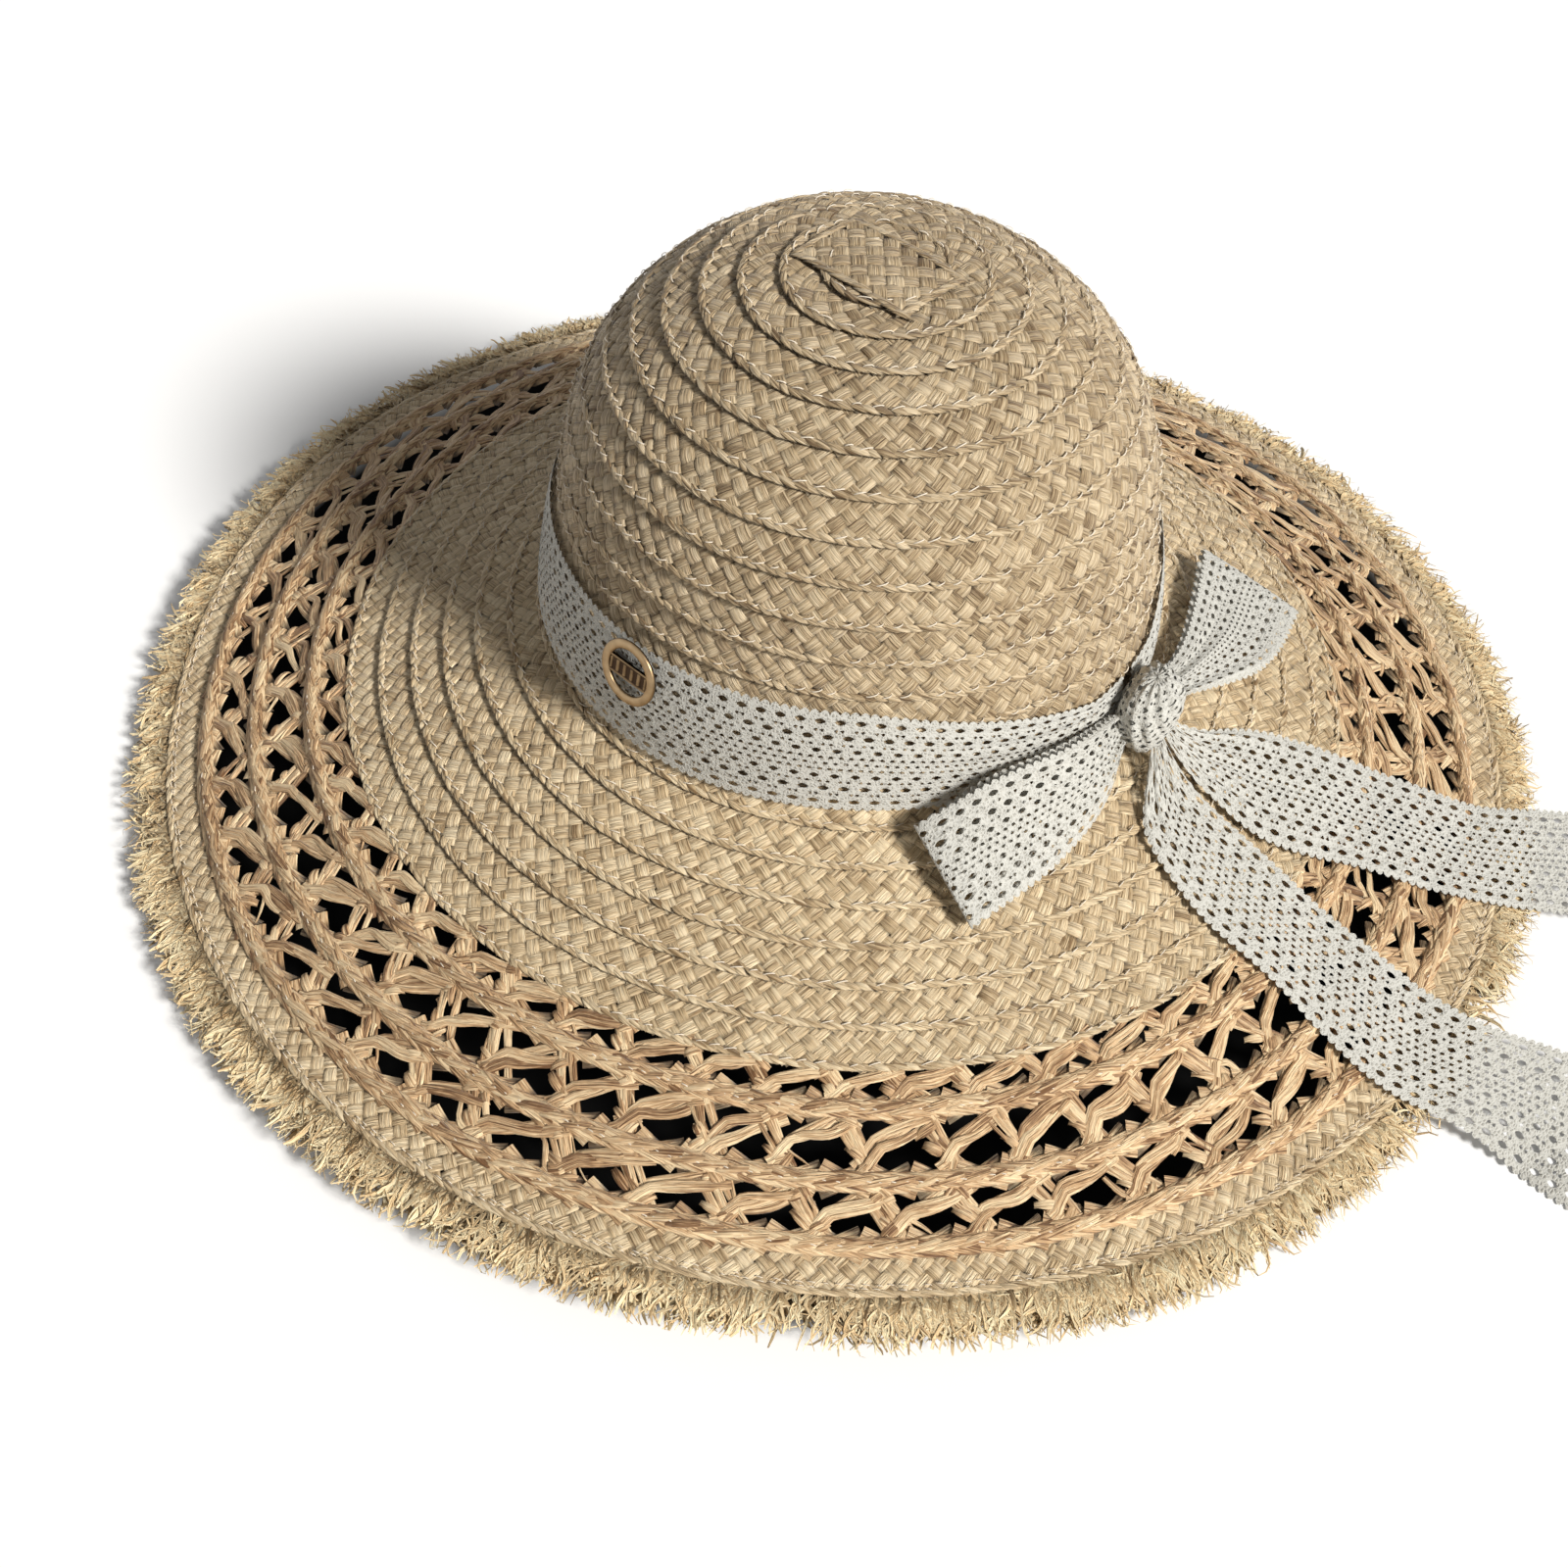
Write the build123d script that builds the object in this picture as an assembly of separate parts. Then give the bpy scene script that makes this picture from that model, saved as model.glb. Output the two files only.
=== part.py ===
"""Wide-brimmed straw sun hat with an openwork brim, a frayed edge and a lace ribbon tied in a bow.

The straw is one long flat braid, coiled from the crown's tip and sewn where each turn laps the next.
Units are millimetres. The origin is the centre of the head opening, on the plane where the crown
meets the brim. +Z points up through the crown, +X to the wearer's left, where the bow is tied.
"""

from build123d import *

import os
from math import atan2, cos, degrees, exp, hypot, pi, radians, sin

import numpy as np

os.makedirs("parts", exist_ok=True)

# ---- driving dimensions -------------------------------------------------------------------------
SWEATBAND_RADIUS = 88.2  # inside: a 55.5 cm head
SWEATBAND_THICKNESS = 0.7
SWEATBAND_BOTTOM = -1.0
SWEATBAND_HEIGHT = 18.0

CROWN_HEIGHT = 115.5  # middle of the straw at the tip
CROWN_WAIST_RADIUS = 85.3
CROWN_WAIST_HEIGHT = 46.4
CROWN_BASE_RADIUS = 92.6
DOME_ROUNDING = 0.847  # 1 is an ellipse, and less is fuller at the shoulder
CROWN_BELLY = 5.7  # how far the side bows out from a straight cone

BRIM_SLOPE = 0.5195
BRIM_FLATTENING = 0.0008  # per mm: how quickly the brim's fall eases off
BEND_LENGTH = 8.0  # the crown runs into the brim over this length
WAVE_DROP = 4.5  # the edge dips by this at three places, on which the hat stands
WAVE_LOW_AZIMUTH = -42.0
FOLD_RISE = 6.0  # a small kink beside the tails of the bow
FOLD_AZIMUTH = -28.0
FOLD_WIDTH = 8.0

BRAID_THICKNESS = 1.1
BRAID_WIDTH = 13.2
BRAID_PITCH = 11.16  # of each turn, what the turn above leaves showing
SEW_GAP = 0.2
CROWN_TURNS = 14
BRIM_TURNS = 7
SOLID_EDGE_RADIUS = 157.2
EDGE_LAP = 2.0
OPENWORK_RADII = (169.0, 187.2, 203.2)  # outer edges of the three openwork rows
OPENWORK_CORD = 4.4  # plaited cord along each row's outer edge
OPENINGS_PER_LINE = 54
OPENING_LENGTH = 11.5
EDGE_BRAID_RADIUS = 213.1
FRINGE_RADIUS = 228.1
FRINGE_ROOT_THICKNESS = 2.0
FRINGE_TIP_THICKNESS = 3.2
THREAD_WIDTH = 0.6
THREAD_THICKNESS = 0.3
THREAD_GAP = 0.1
THREAD_INSET = 1.2
SEAM_INSETS = (2.6, 4.0)  # from the edge braid's outer edge
FRINGE_TUCK = 3.0
FRINGE_ROOT_LIFT = -1.6
FRINGE_TIP_LIFT = -0.4

PATCH_LENGTH = 40.0
PATCH_WIDTH = 22.5
PATCH_AZIMUTH = -40.7
PATCH_SPANS = 8

LACE_THICKNESS = 0.8
BAND_BOTTOM = 3.0
BAND_TOP = 38.0
BAND_TOP_AT_KNOT = 20.0
KNOT_AZIMUTH = -31.5
KNOT_CENTRE = (86.5, -53.0, 10.5)
KNOT_SIZE = (13.0, 22.0, 24.0)  # outwards, along the band, up
BAND_END_GAP = 1.5  # degrees, behind the knot
BAND_GATHER = 46.0  # degrees over which the band narrows towards the knot
LOOP_OPENING = 5.0
LOOP_STEPS = 24
LOOP_GATHER = 0.1  # share of a loop that is gathered shut at the knot
LOOP_FOLD_START = 0.9
TAIL_STEPS = 18

BADGE_RADIUS = 10.0
BADGE_AZIMUTH = -130.0
BADGE_HEIGHT = 28.5
BADGE_RING_WIDTH = 2.3
BADGE_THICKNESS = 1.6
BADGE_BAR_HEIGHT = 5.6
BADGE_RIBS = 5

CROWN_STEPS = 48  # sections round a turn
BRIM_STEPS = 72
TURN_SPANS = 4  # straight spans across a turn's width
BEND_SPANS = 9
BEND_TURNS = (13, 14, 15)  # the turns that bend from the crown into the brim, counted from 0
SOFT_LENGTH = 60.0  # the section is smoothed beyond this arc length, so the tip keeps its shape
HALF_LIFT = (BRAID_THICKNESS + SEW_GAP) * BRAID_WIDTH / BRAID_PITCH / 2
STRAW_TOP = HALF_LIFT + BRAID_THICKNESS / 2  # highest the straw stands above its own middle
OVER_THREAD = STRAW_TOP + THREAD_GAP + THREAD_THICKNESS + 0.15
BAND_LIFT = OVER_THREAD + LACE_THICKNESS / 2
BADGE_LIFT = BAND_LIFT + LACE_THICKNESS / 2 + 0.75 + BADGE_THICKNESS / 2
TAIL_LIFT = OVER_THREAD + 0.5
STAND_HEIGHT = -62.4  # the surface the hat stands on


# ---- the hat's surface --------------------------------------------------------------------------
def brim_fall(radius):
    """Height of the level brim at a radius, in the middle of the straw."""
    out = radius - CROWN_BASE_RADIUS
    return -(BRIM_SLOPE * out - BRIM_FLATTENING * out * out)


def meridian():
    """Arc length, radius and height along half the hat's section, from the tip outwards."""
    turn = np.linspace(0.0, pi / 2, 181)
    dome_r = CROWN_WAIST_RADIUS * np.sin(turn) ** DOME_ROUNDING
    dome_z = CROWN_WAIST_HEIGHT + (CROWN_HEIGHT - CROWN_WAIST_HEIGHT) * np.cos(turn)
    down = np.linspace(0.0, 1.0, 50)[1:]
    flare = CROWN_BASE_RADIUS - CROWN_WAIST_RADIUS
    side_r = CROWN_WAIST_RADIUS + (flare + CROWN_BELLY) * down - CROWN_BELLY * down**2
    side_z = CROWN_WAIST_HEIGHT * (1 - down)
    brim_r = np.linspace(CROWN_BASE_RADIUS, FRINGE_RADIUS + 30, 200)[1:]
    r = np.concatenate([dome_r, side_r, brim_r])
    z = np.concatenate([dome_z, side_z, brim_fall(brim_r)])
    s = np.concatenate([[0.0], np.cumsum(np.hypot(np.diff(r), np.diff(z)))])
    step = 0.5
    even = np.arange(0.0, s[-1], step)
    r_even, z_even = np.interp(even, s, r), np.interp(even, s, z)
    reach = int(BEND_LENGTH / step)
    kernel = np.hanning(2 * reach + 1)
    kernel /= kernel.sum()
    keep = np.clip((even - SOFT_LENGTH) / 20.0 + 1.0, 0.0, 1.0)
    r_soft = np.convolve(np.pad(r_even, reach, "edge"), kernel, "valid")
    z_soft = np.convolve(np.pad(z_even, reach, "edge"), kernel, "valid")
    inside = slice(0, len(even) - reach)
    r_out = (r_even + keep * (r_soft - r_even))[inside]
    z_out = (z_even + keep * (z_soft - z_even))[inside]
    s_out = np.concatenate([[0.0], np.cumsum(np.hypot(np.diff(r_out), np.diff(z_out)))])
    return s_out, r_out, z_out


ARC, ARC_R, ARC_Z = meridian()


def arc_at(radius):
    """Arc length at which the brim reaches a radius."""
    return float(np.interp(radius, ARC_R[250:], ARC[250:]))


def wave(radius, azimuth):
    """How far the brim rises or falls from a true cone."""
    reach = max(radius - CROWN_BASE_RADIUS - 6.0, 0.0) / (FRINGE_RADIUS - CROWN_BASE_RADIUS)
    lobes = -WAVE_DROP * cos(radians(3 * (azimuth - WAVE_LOW_AZIMUTH)))
    off_fold = (azimuth - FOLD_AZIMUTH + 180) % 360 - 180
    fold = FOLD_RISE * exp(-((off_fold / FOLD_WIDTH) ** 2))
    return (lobes + fold) * reach**1.8


def on_hat(arc, azimuth, lift):
    """A point at an arc length and azimuth, lifted square off the middle of the straw."""
    before = max(arc - 0.8, 0.0)
    r, r1, r0 = (float(np.interp(s, ARC, ARC_R)) for s in (arc, arc + 0.8, before))
    z, z1, z0 = (float(np.interp(s, ARC, ARC_Z)) for s in (arc, arc + 0.8, before))
    size = hypot(r1 - r0, z1 - z0)
    z += wave(r, azimuth)
    r -= (z1 - z0) / size * lift
    z += (r1 - r0) / size * lift
    return Vector(r * cos(radians(azimuth)), r * sin(radians(azimuth)), z)


def brim_z(x, y):
    """Height of the middle of the straw at a point of the brim, or of the stand beyond it."""
    r = hypot(x, y)
    z = float(np.interp(r, ARC_R[250:], ARC_Z[250:])) + wave(r, degrees(atan2(y, x)))
    return z


# ---- building tools -----------------------------------------------------------------------------
def skin(sections):
    """A closed solid through polygon sections, one after the other."""
    wires = [Wire.make_polygon(points, close=True) for points in sections]
    return Solid.make_loft(wires, ruled=False)


def save(node, *solids):
    """One STEP file for each named piece."""
    shape = solids[0] if len(solids) == 1 else Compound(children=list(solids))
    shape.label = node
    export_step(shape, f"parts/{node}.step")


def strip_section(azimuth, inner, outer, lift_in, lift_out, thickness, thickness_out=None, spans=2):
    """Section across a strip that lies along the hat, by its arc lengths and lifts."""
    thick = (thickness, thickness_out or thickness)
    top, low = [], []
    for i in range(spans + 1):
        share = i / spans
        s = inner + (outer - inner) * share
        lift = lift_in + (lift_out - lift_in) * share
        half = (thick[0] + (thick[1] - thick[0]) * share) / 2
        top.append(on_hat(s, azimuth, lift + half))
        low.append(on_hat(s, azimuth, lift - half))
    return top + low[::-1]


def ring_strip(inner, outer, lift_in, lift_out, thickness, thickness_out=None):
    """A strip all round the hat, its ends butted at the back.

    Its edges and lifts are functions of the share of the way round.
    """
    sections = []
    for i in range(BRIM_STEPS + 1):
        share = i / BRIM_STEPS
        azimuth = SEAM_AZIMUTH + TURN_SWEEP * share
        edges = (inner(share), outer(share), lift_in(share), lift_out(share))
        sections.append(strip_section(azimuth, *edges, thickness, thickness_out))
    return skin(sections)


# ---- braid turns --------------------------------------------------------------------------------
TURNS = CROWN_TURNS + BRIM_TURNS
SOLID_ARC = arc_at(SOLID_EDGE_RADIUS)
START_ARC = SOLID_ARC - BRAID_PITCH * (TURNS - 0.5)
SEAM_AZIMUTH = 90.0  # each turn starts and ends at the back
TURN_SWEEP = 359.9
END_TAPER = 0.08  # share of the last turn over which its end is tucked in
HOLE_RADIUS = 1.2  # left open in the middle of the first turn


def turn_edge(turn, share):
    """Outer edge of the coiled braid, a share of the way round a turn. It grows all the way."""
    return START_ARC + BRAID_PITCH * (turn + share)


def turn_lift(turn, share, s):
    """How far a turn rides off the middle of the straw, tilted with its outer edge on top."""
    return HALF_LIFT * (2 * (s - turn_edge(turn, share)) / BRAID_WIDTH + 1)


def seen_edge(turn, share):
    """Outer edge of a turn. The last joins the even edge of the solid straw, then tucks in."""
    if turn < TURNS - 1:
        return turn_edge(turn, share)
    tuck = min((1 - share) / END_TAPER, 1.0)
    return SOLID_ARC - BRAID_PITCH / 2 * (1 - min(2 * share, 1.0) * tuck)


def along_turn(turn, inner, outer, rise, thickness, spans, reach=1.0):
    """A strip along one turn or a part of it, between two arc lengths, risen off the turn."""
    steps = BRIM_STEPS if turn >= CROWN_TURNS - 1 else CROWN_STEPS
    sections = []
    for i in range(steps + 1):
        share = reach * i / steps
        edges = (inner(share), outer(share))
        lifts = [turn_lift(turn, share, s) + rise for s in edges]
        azimuth = SEAM_AZIMUTH + TURN_SWEEP * share
        sections.append(strip_section(azimuth, *edges, *lifts, thickness, spans=spans))
    return skin(sections)


def coiled_turn(turn):
    """One turn of the coiled braid, tilted so that its outer edge rides over the next turn."""
    return along_turn(
        turn,
        lambda share: max(turn_edge(turn, share) - BRAID_WIDTH, HOLE_RADIUS),
        lambda share: seen_edge(turn, share),
        0.0,
        BRAID_THICKNESS,
        BEND_SPANS if turn in BEND_TURNS else TURN_SPANS,
    )


def sewing_thread(turn):
    """The thread that sews a turn to the next, along its outer edge. It stops at the tucked end."""
    last = turn == TURNS - 1
    rise = BRAID_THICKNESS / 2 + THREAD_GAP + THREAD_THICKNESS / 2
    return along_turn(
        turn,
        lambda share: seen_edge(turn, share) - THREAD_INSET - THREAD_WIDTH,
        lambda share: seen_edge(turn, share) - THREAD_INSET,
        rise,
        THREAD_THICKNESS,
        1,
        1 - END_TAPER - 0.01 if last else 1.0,
    )


def tip_patch():
    """Start of the braid, folded over into a square-ended patch on the crown's tip."""
    along = Vector(cos(radians(PATCH_AZIMUTH)), sin(radians(PATCH_AZIMUTH)), 0)
    across = Vector(-along.Y, along.X, 0)
    sections = []
    for i in range(PATCH_SPANS + 1):
        top, low = [], []
        for share in (-0.5, 0.0, 0.5):
            plan = along * (PATCH_LENGTH * (i / PATCH_SPANS - 0.5)) + across * (PATCH_WIDTH * share)
            z = float(np.interp(hypot(plan.X, plan.Y), ARC_R[:250], ARC_Z[:250])) + OVER_THREAD
            low.append(plan + Vector(0, 0, z))
            top.append(plan + Vector(0, 0, z + BRAID_THICKNESS))
        sections.append(top + low[::-1])
    return skin(sections)


# ---- openwork, edge braid and fringe ------------------------------------------------------------
def row_edge(row, share):
    """Outer edge of an openwork row, where row 0 is the edge of the solid straw."""
    return arc_at(OPENWORK_RADII[row - 1]) if row else seen_edge(TURNS - 1, share)


def row_start(row, share):
    """Inner edge of an openwork row, sewn under the edge before it."""
    return row_edge(row - 1, share) - EDGE_LAP


def row_low(row, share):
    """Lift of a row's inner edge, clear under the braid that laps it."""
    if row > 1:
        return -HALF_LIFT
    return turn_lift(TURNS - 1, share, row_start(row, share)) - BRAID_THICKNESS - SEW_GAP


def openings(row):
    """Two staggered lines of lens-shaped openings between a row's crossing strands."""
    prisms = []
    for line, place in ((0, 0.28), (1, 0.72)):
        for i in range(OPENINGS_PER_LINE):
            share = (i + 0.5 * line + 0.25) / OPENINGS_PER_LINE
            start = row_edge(row - 1, share) + 0.8
            width = row_edge(row, share) - OPENWORK_CORD - start
            centre = on_hat(start + width * place, SEAM_AZIMUTH + 360 * share, 0)
            half = (OPENING_LENGTH / 2, width * 0.2)
            outline = Polyline((-half[0], 0), (0, -half[1]), (half[0], 0), (0, half[1]), close=True)
            frame = Plane(origin=centre - Vector(0, 0, 8), x_dir=(-centre.Y, centre.X, 0),
                          z_dir=(0, 0, 1))
            prisms.append(extrude(frame * make_face(outline), amount=16))
    return prisms


def openwork_row(row):
    """One row of open braid: crossing strands between two edges."""
    strip = ring_strip(
        lambda share: row_start(row, share),
        lambda share: row_edge(row, share),
        lambda share: row_low(row, share),
        lambda share: HALF_LIFT,
        BRAID_THICKNESS,
    )
    return strip.cut(*openings(row))


def level_ring(inner, outer, lift_in, lift_out, thickness, thickness_out=None):
    """A strip all round the brim between two radii."""
    values = (arc_at(inner), arc_at(outer), lift_in, lift_out)
    return ring_strip(*[lambda share, v=v: v for v in values], thickness, thickness_out)


def edge_braid():
    """The flat braid that finishes the brim, lapped by the last openwork row."""
    return level_ring(OPENWORK_RADII[-1] - EDGE_LAP, EDGE_BRAID_RADIUS, -HALF_LIFT, HALF_LIFT,
                      BRAID_THICKNESS)


def fringe():
    """Frayed straw ends, sewn under the edge braid and standing out from it all round."""
    return level_ring(EDGE_BRAID_RADIUS - FRINGE_TUCK, FRINGE_RADIUS, FRINGE_ROOT_LIFT,
                      FRINGE_TIP_LIFT, FRINGE_ROOT_THICKNESS, FRINGE_TIP_THICKNESS)


def edge_seam():
    """Two lines of pale thread that sew the edge braid to the fringe."""
    lift = HALF_LIFT + BRAID_THICKNESS / 2 + THREAD_GAP + THREAD_THICKNESS / 2
    lines = []
    for inset in SEAM_INSETS:
        outer = EDGE_BRAID_RADIUS - inset
        drop = 2 * HALF_LIFT * inset / (EDGE_BRAID_RADIUS - OPENWORK_RADII[-1] + EDGE_LAP)
        lines.append(level_ring(outer - THREAD_WIDTH, outer, lift - drop, lift - drop,
                                THREAD_THICKNESS))
    return lines


def openwork_thread(row):
    """The thread along the plaited cord of an openwork row."""
    lift = HALF_LIFT + BRAID_THICKNESS / 2 + THREAD_GAP + THREAD_THICKNESS / 2
    outer = OPENWORK_RADII[row - 1] - THREAD_INSET
    return level_ring(outer - THREAD_WIDTH, outer, lift, lift, THREAD_THICKNESS)


# ---- sweatband, lace band and badge -------------------------------------------------------------
def sweatband():
    """Plain woven band inside the head opening. Its bore is the head opening's size."""
    tube = Cylinder(SWEATBAND_RADIUS + SWEATBAND_THICKNESS, SWEATBAND_HEIGHT)
    tube -= Cylinder(SWEATBAND_RADIUS, SWEATBAND_HEIGHT)
    return Pos(0, 0, SWEATBAND_BOTTOM + SWEATBAND_HEIGHT / 2) * tube


def crown_arc(height):
    """Arc length at which the crown's side passes a height."""
    return float(np.interp(-height, -ARC_Z, ARC))


def lace_band():
    """The ribbon round the crown, gathered down to the knot that ties its two ends."""
    sections = []
    for i in range(BRIM_STEPS + 1):
        off_knot = BAND_END_GAP + (360 - 2 * BAND_END_GAP) * i / BRIM_STEPS
        from_knot = min(off_knot, 360 - off_knot)
        gather = (1 - min(max(from_knot - 10, 0.0) / BAND_GATHER, 1.0)) ** 1.3
        top = BAND_TOP - (BAND_TOP - BAND_TOP_AT_KNOT) * gather
        sections.append(
            strip_section(KNOT_AZIMUTH + off_knot, crown_arc(top), crown_arc(BAND_BOTTOM),
                          BAND_LIFT, BAND_LIFT, LACE_THICKNESS, spans=5)
        )
    return skin(sections)


def badge():
    """A cast ring with a plain ribbed bar across it, standing on the band."""
    ring = Cylinder(BADGE_RADIUS, BADGE_THICKNESS)
    ring -= Cylinder(BADGE_RADIUS - BADGE_RING_WIDTH, BADGE_THICKNESS)
    inside = 2 * (BADGE_RADIUS - BADGE_RING_WIDTH / 2)
    bar = Box(inside, BADGE_BAR_HEIGHT, BADGE_THICKNESS * 0.7)
    badge_solid = ring + bar
    for i in range(BADGE_RIBS):
        x = (i - (BADGE_RIBS - 1) / 2) * inside * 0.8 / BADGE_RIBS
        badge_solid += Pos(x, 0, 0) * Box(0.9, BADGE_BAR_HEIGHT * 0.6, BADGE_THICKNESS * 0.96)
    s = crown_arc(BADGE_HEIGHT)
    seat = on_hat(s, BADGE_AZIMUTH, BADGE_LIFT)
    out = on_hat(s, BADGE_AZIMUTH, BADGE_LIFT + 1) - seat
    sideways = (-sin(radians(BADGE_AZIMUTH)), cos(radians(BADGE_AZIMUTH)), 0)
    return Plane(origin=seat, x_dir=sideways, z_dir=out) * badge_solid


# ---- the bow ------------------------------------------------------------------------------------
def smooth_path(points, count):
    """Evenly numbered points on a smooth curve through a few."""
    points = np.array(points, float)
    steps = np.linalg.norm(np.diff(points, axis=0), axis=1)
    at = np.concatenate([[0.0], np.cumsum(steps)]) / steps.sum()
    slopes = np.gradient(points, at, axis=0)
    out = []
    for u in np.linspace(0, 1, count):
        k = min(int(np.searchsorted(at, u, "right")) - 1, len(at) - 2)
        h = at[k + 1] - at[k]
        v = (u - at[k]) / h
        out.append((2 * v**3 - 3 * v**2 + 1) * points[k] + (v**3 - 2 * v**2 + v) * h * slopes[k]
                   + (3 * v**2 - 2 * v**3) * points[k + 1] + (v**3 - v**2) * h * slopes[k + 1])
    return np.array(out)


def bow_knot():
    """The knot, a soft lump of folded ribbon against the band."""
    x, y, z = KNOT_CENTRE
    sphere = Solid.make_sphere(1.0)
    squash = Matrix([[KNOT_SIZE[0] / 2, 0, 0, 0], [0, KNOT_SIZE[1] / 2, 0, 0],
                     [0, 0, KNOT_SIZE[2] / 2, 0]])
    lump = sphere.transform_geometry(squash)
    return Location((x, y, z), (0, 0, degrees(atan2(y, x)))) * lump


def bow_loop(upper, lower):
    """One loop of the bow: a strip that runs out, folds over and comes back to the knot."""
    upper, lower = smooth_path(upper, LOOP_STEPS), smooth_path(lower, LOOP_STEPS)
    runs = np.gradient((upper + lower) / 2, axis=0)
    across = upper - lower
    out = np.cross(runs, across)
    out *= np.sign(out[:, 2:3]) / np.linalg.norm(out, axis=1)[:, None]
    across /= np.linalg.norm(across, axis=1)[:, None]
    share = np.linspace(0, 1, LOOP_STEPS)
    fold = np.clip((share - LOOP_FOLD_START) / (1 - LOOP_FOLD_START), 0, 1)
    middle = LOOP_OPENING / 2 * np.sqrt(np.clip(share / 0.6, 0.15, 1.0)) * np.sqrt(1 - fold**2)

    def envelope(half, reach, steps):
        """Solid between the loop's two layers, or outside them."""
        sections = []
        for i in steps:
            rise, wide = out[i] * half[i], across[i] * reach
            sections.append([Vector(*p) for p in (upper[i] + wide + rise, lower[i] - wide + rise,
                                                  lower[i] - wide - rise, upper[i] + wide - rise)])
        return skin(sections)

    whole = envelope(middle + LACE_THICKNESS / 2, 0.0, range(LOOP_STEPS))
    hollow = middle - LACE_THICKNESS / 2
    steps = [i for i in range(LOOP_STEPS) if share[i] > LOOP_GATHER and hollow[i] > 0.25]
    return whole.cut(envelope(hollow, 3.0, steps))


def tail(left, right):
    """One tail of the ribbon, lying on the brim, over the fringe and out on the stand."""
    left = smooth_path([(x, y, 0) for x, y in left], TAIL_STEPS)
    right = smooth_path([(x, y, 0) for x, y in right], TAIL_STEPS)
    sections = []
    for a, b in zip(left, right):
        top, low = [], []
        for share in (0.0, 0.25, 0.5, 0.75, 1.0):
            x, y = a[0] + (b[0] - a[0]) * share, a[1] + (b[1] - a[1]) * share
            z = max(brim_z(x, y) + TAIL_LIFT, STAND_HEIGHT + 0.2)
            top.append(Vector(x, y, z + LACE_THICKNESS))
            low.append(Vector(x, y, z))
        sections.append(top + low[::-1])
    return skin(sections)


# Edges of the bow's pieces, from the knot outwards: x, y and, off the brim, z.
FRONT_LOOP_UPPER = ((76.3, -59.0, 13.0), (60.5, -78.5, 19.5), (40.5, -91.0, 18.5), (20.0, -99.5, 6.0))
FRONT_LOOP_LOWER = ((79.8, -64.5, 3.5), (76.0, -77.0, -1.5), (63.0, -97.5, -5.5), (38.0, -121.5, -11.0))
BACK_LOOP_UPPER = ((90.2, -42.2, 12.0), (99.0, -22.0, 6.0), (105.5, 2.0, 1.5), (112.2, 33.0, -3.5))
BACK_LOOP_LOWER = ((95.5, -44.0, 5.0), (112.0, -29.0, -3.5), (129.0, -14.0, -9.5), (145.3, 19.6, -16.5))
FRONT_TAIL_LEFT = ((89.1, -65.3), (87.0, -82.0), (98.0, -97.0), (126.0, -116.0), (154.0, -137.0),
                   (184.0, -147.0), (208.0, -166.0), (252.0, -184.0))
FRONT_TAIL_RIGHT = ((93.2, -58.0), (107.0, -66.3), (121.5, -75.0), (154.5, -95.5), (187.0, -111.5),
                    (217.5, -117.0), (275.0, -148.0))
BACK_TAIL_LEFT = ((97.9, -49.7), (106.0, -44.0), (128.5, -33.5), (165.6, -31.4), (200.0, -32.0),
                  (237.0, -23.5), (291.0, -25.0))
BACK_TAIL_RIGHT = ((93.9, -57.0), (107.8, -65.0), (122.4, -73.2), (154.0, -73.0), (193.0, -71.5),
                   (228.0, -66.0), (286.0, -63.0))


# ---- writing the pieces -------------------------------------------------------------------------
for turn in range(CROWN_TURNS):
    save(f"crown_braid_turn_{turn + 1:02d}", coiled_turn(turn))
for turn in range(CROWN_TURNS, TURNS):
    save(f"brim_braid_turn_{turn - CROWN_TURNS + 1:02d}", coiled_turn(turn))
save("crown_tip_patch", tip_patch())
for row in (1, 2, 3):
    save(f"openwork_row_{row}", openwork_row(row))
save("edge_braid", edge_braid())
save("fringe", fringe())
save("sewing_thread", *[sewing_thread(turn) for turn in range(TURNS)],
     *[openwork_thread(row) for row in (1, 2, 3)])
save("edge_seam_thread", *edge_seam())
save("sweatband", sweatband())
save("lace_band", lace_band())
save("badge", badge())
save("bow_knot", bow_knot())
save("bow_loop_front", bow_loop(FRONT_LOOP_UPPER, FRONT_LOOP_LOWER))
save("bow_loop_back", bow_loop(BACK_LOOP_UPPER, BACK_LOOP_LOWER))
save("tail_front", tail(FRONT_TAIL_LEFT, FRONT_TAIL_RIGHT))
save("tail_back", tail(BACK_TAIL_LEFT, BACK_TAIL_RIGHT))
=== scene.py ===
"""A wide-brimmed straw sun hat on a pale floor, built up from its coiled plaited straw outwards.

Lengths are worked in millimetres along the hat's form, and meshes are made in metres.
"""

import math

import bpy
import numpy as np

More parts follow.
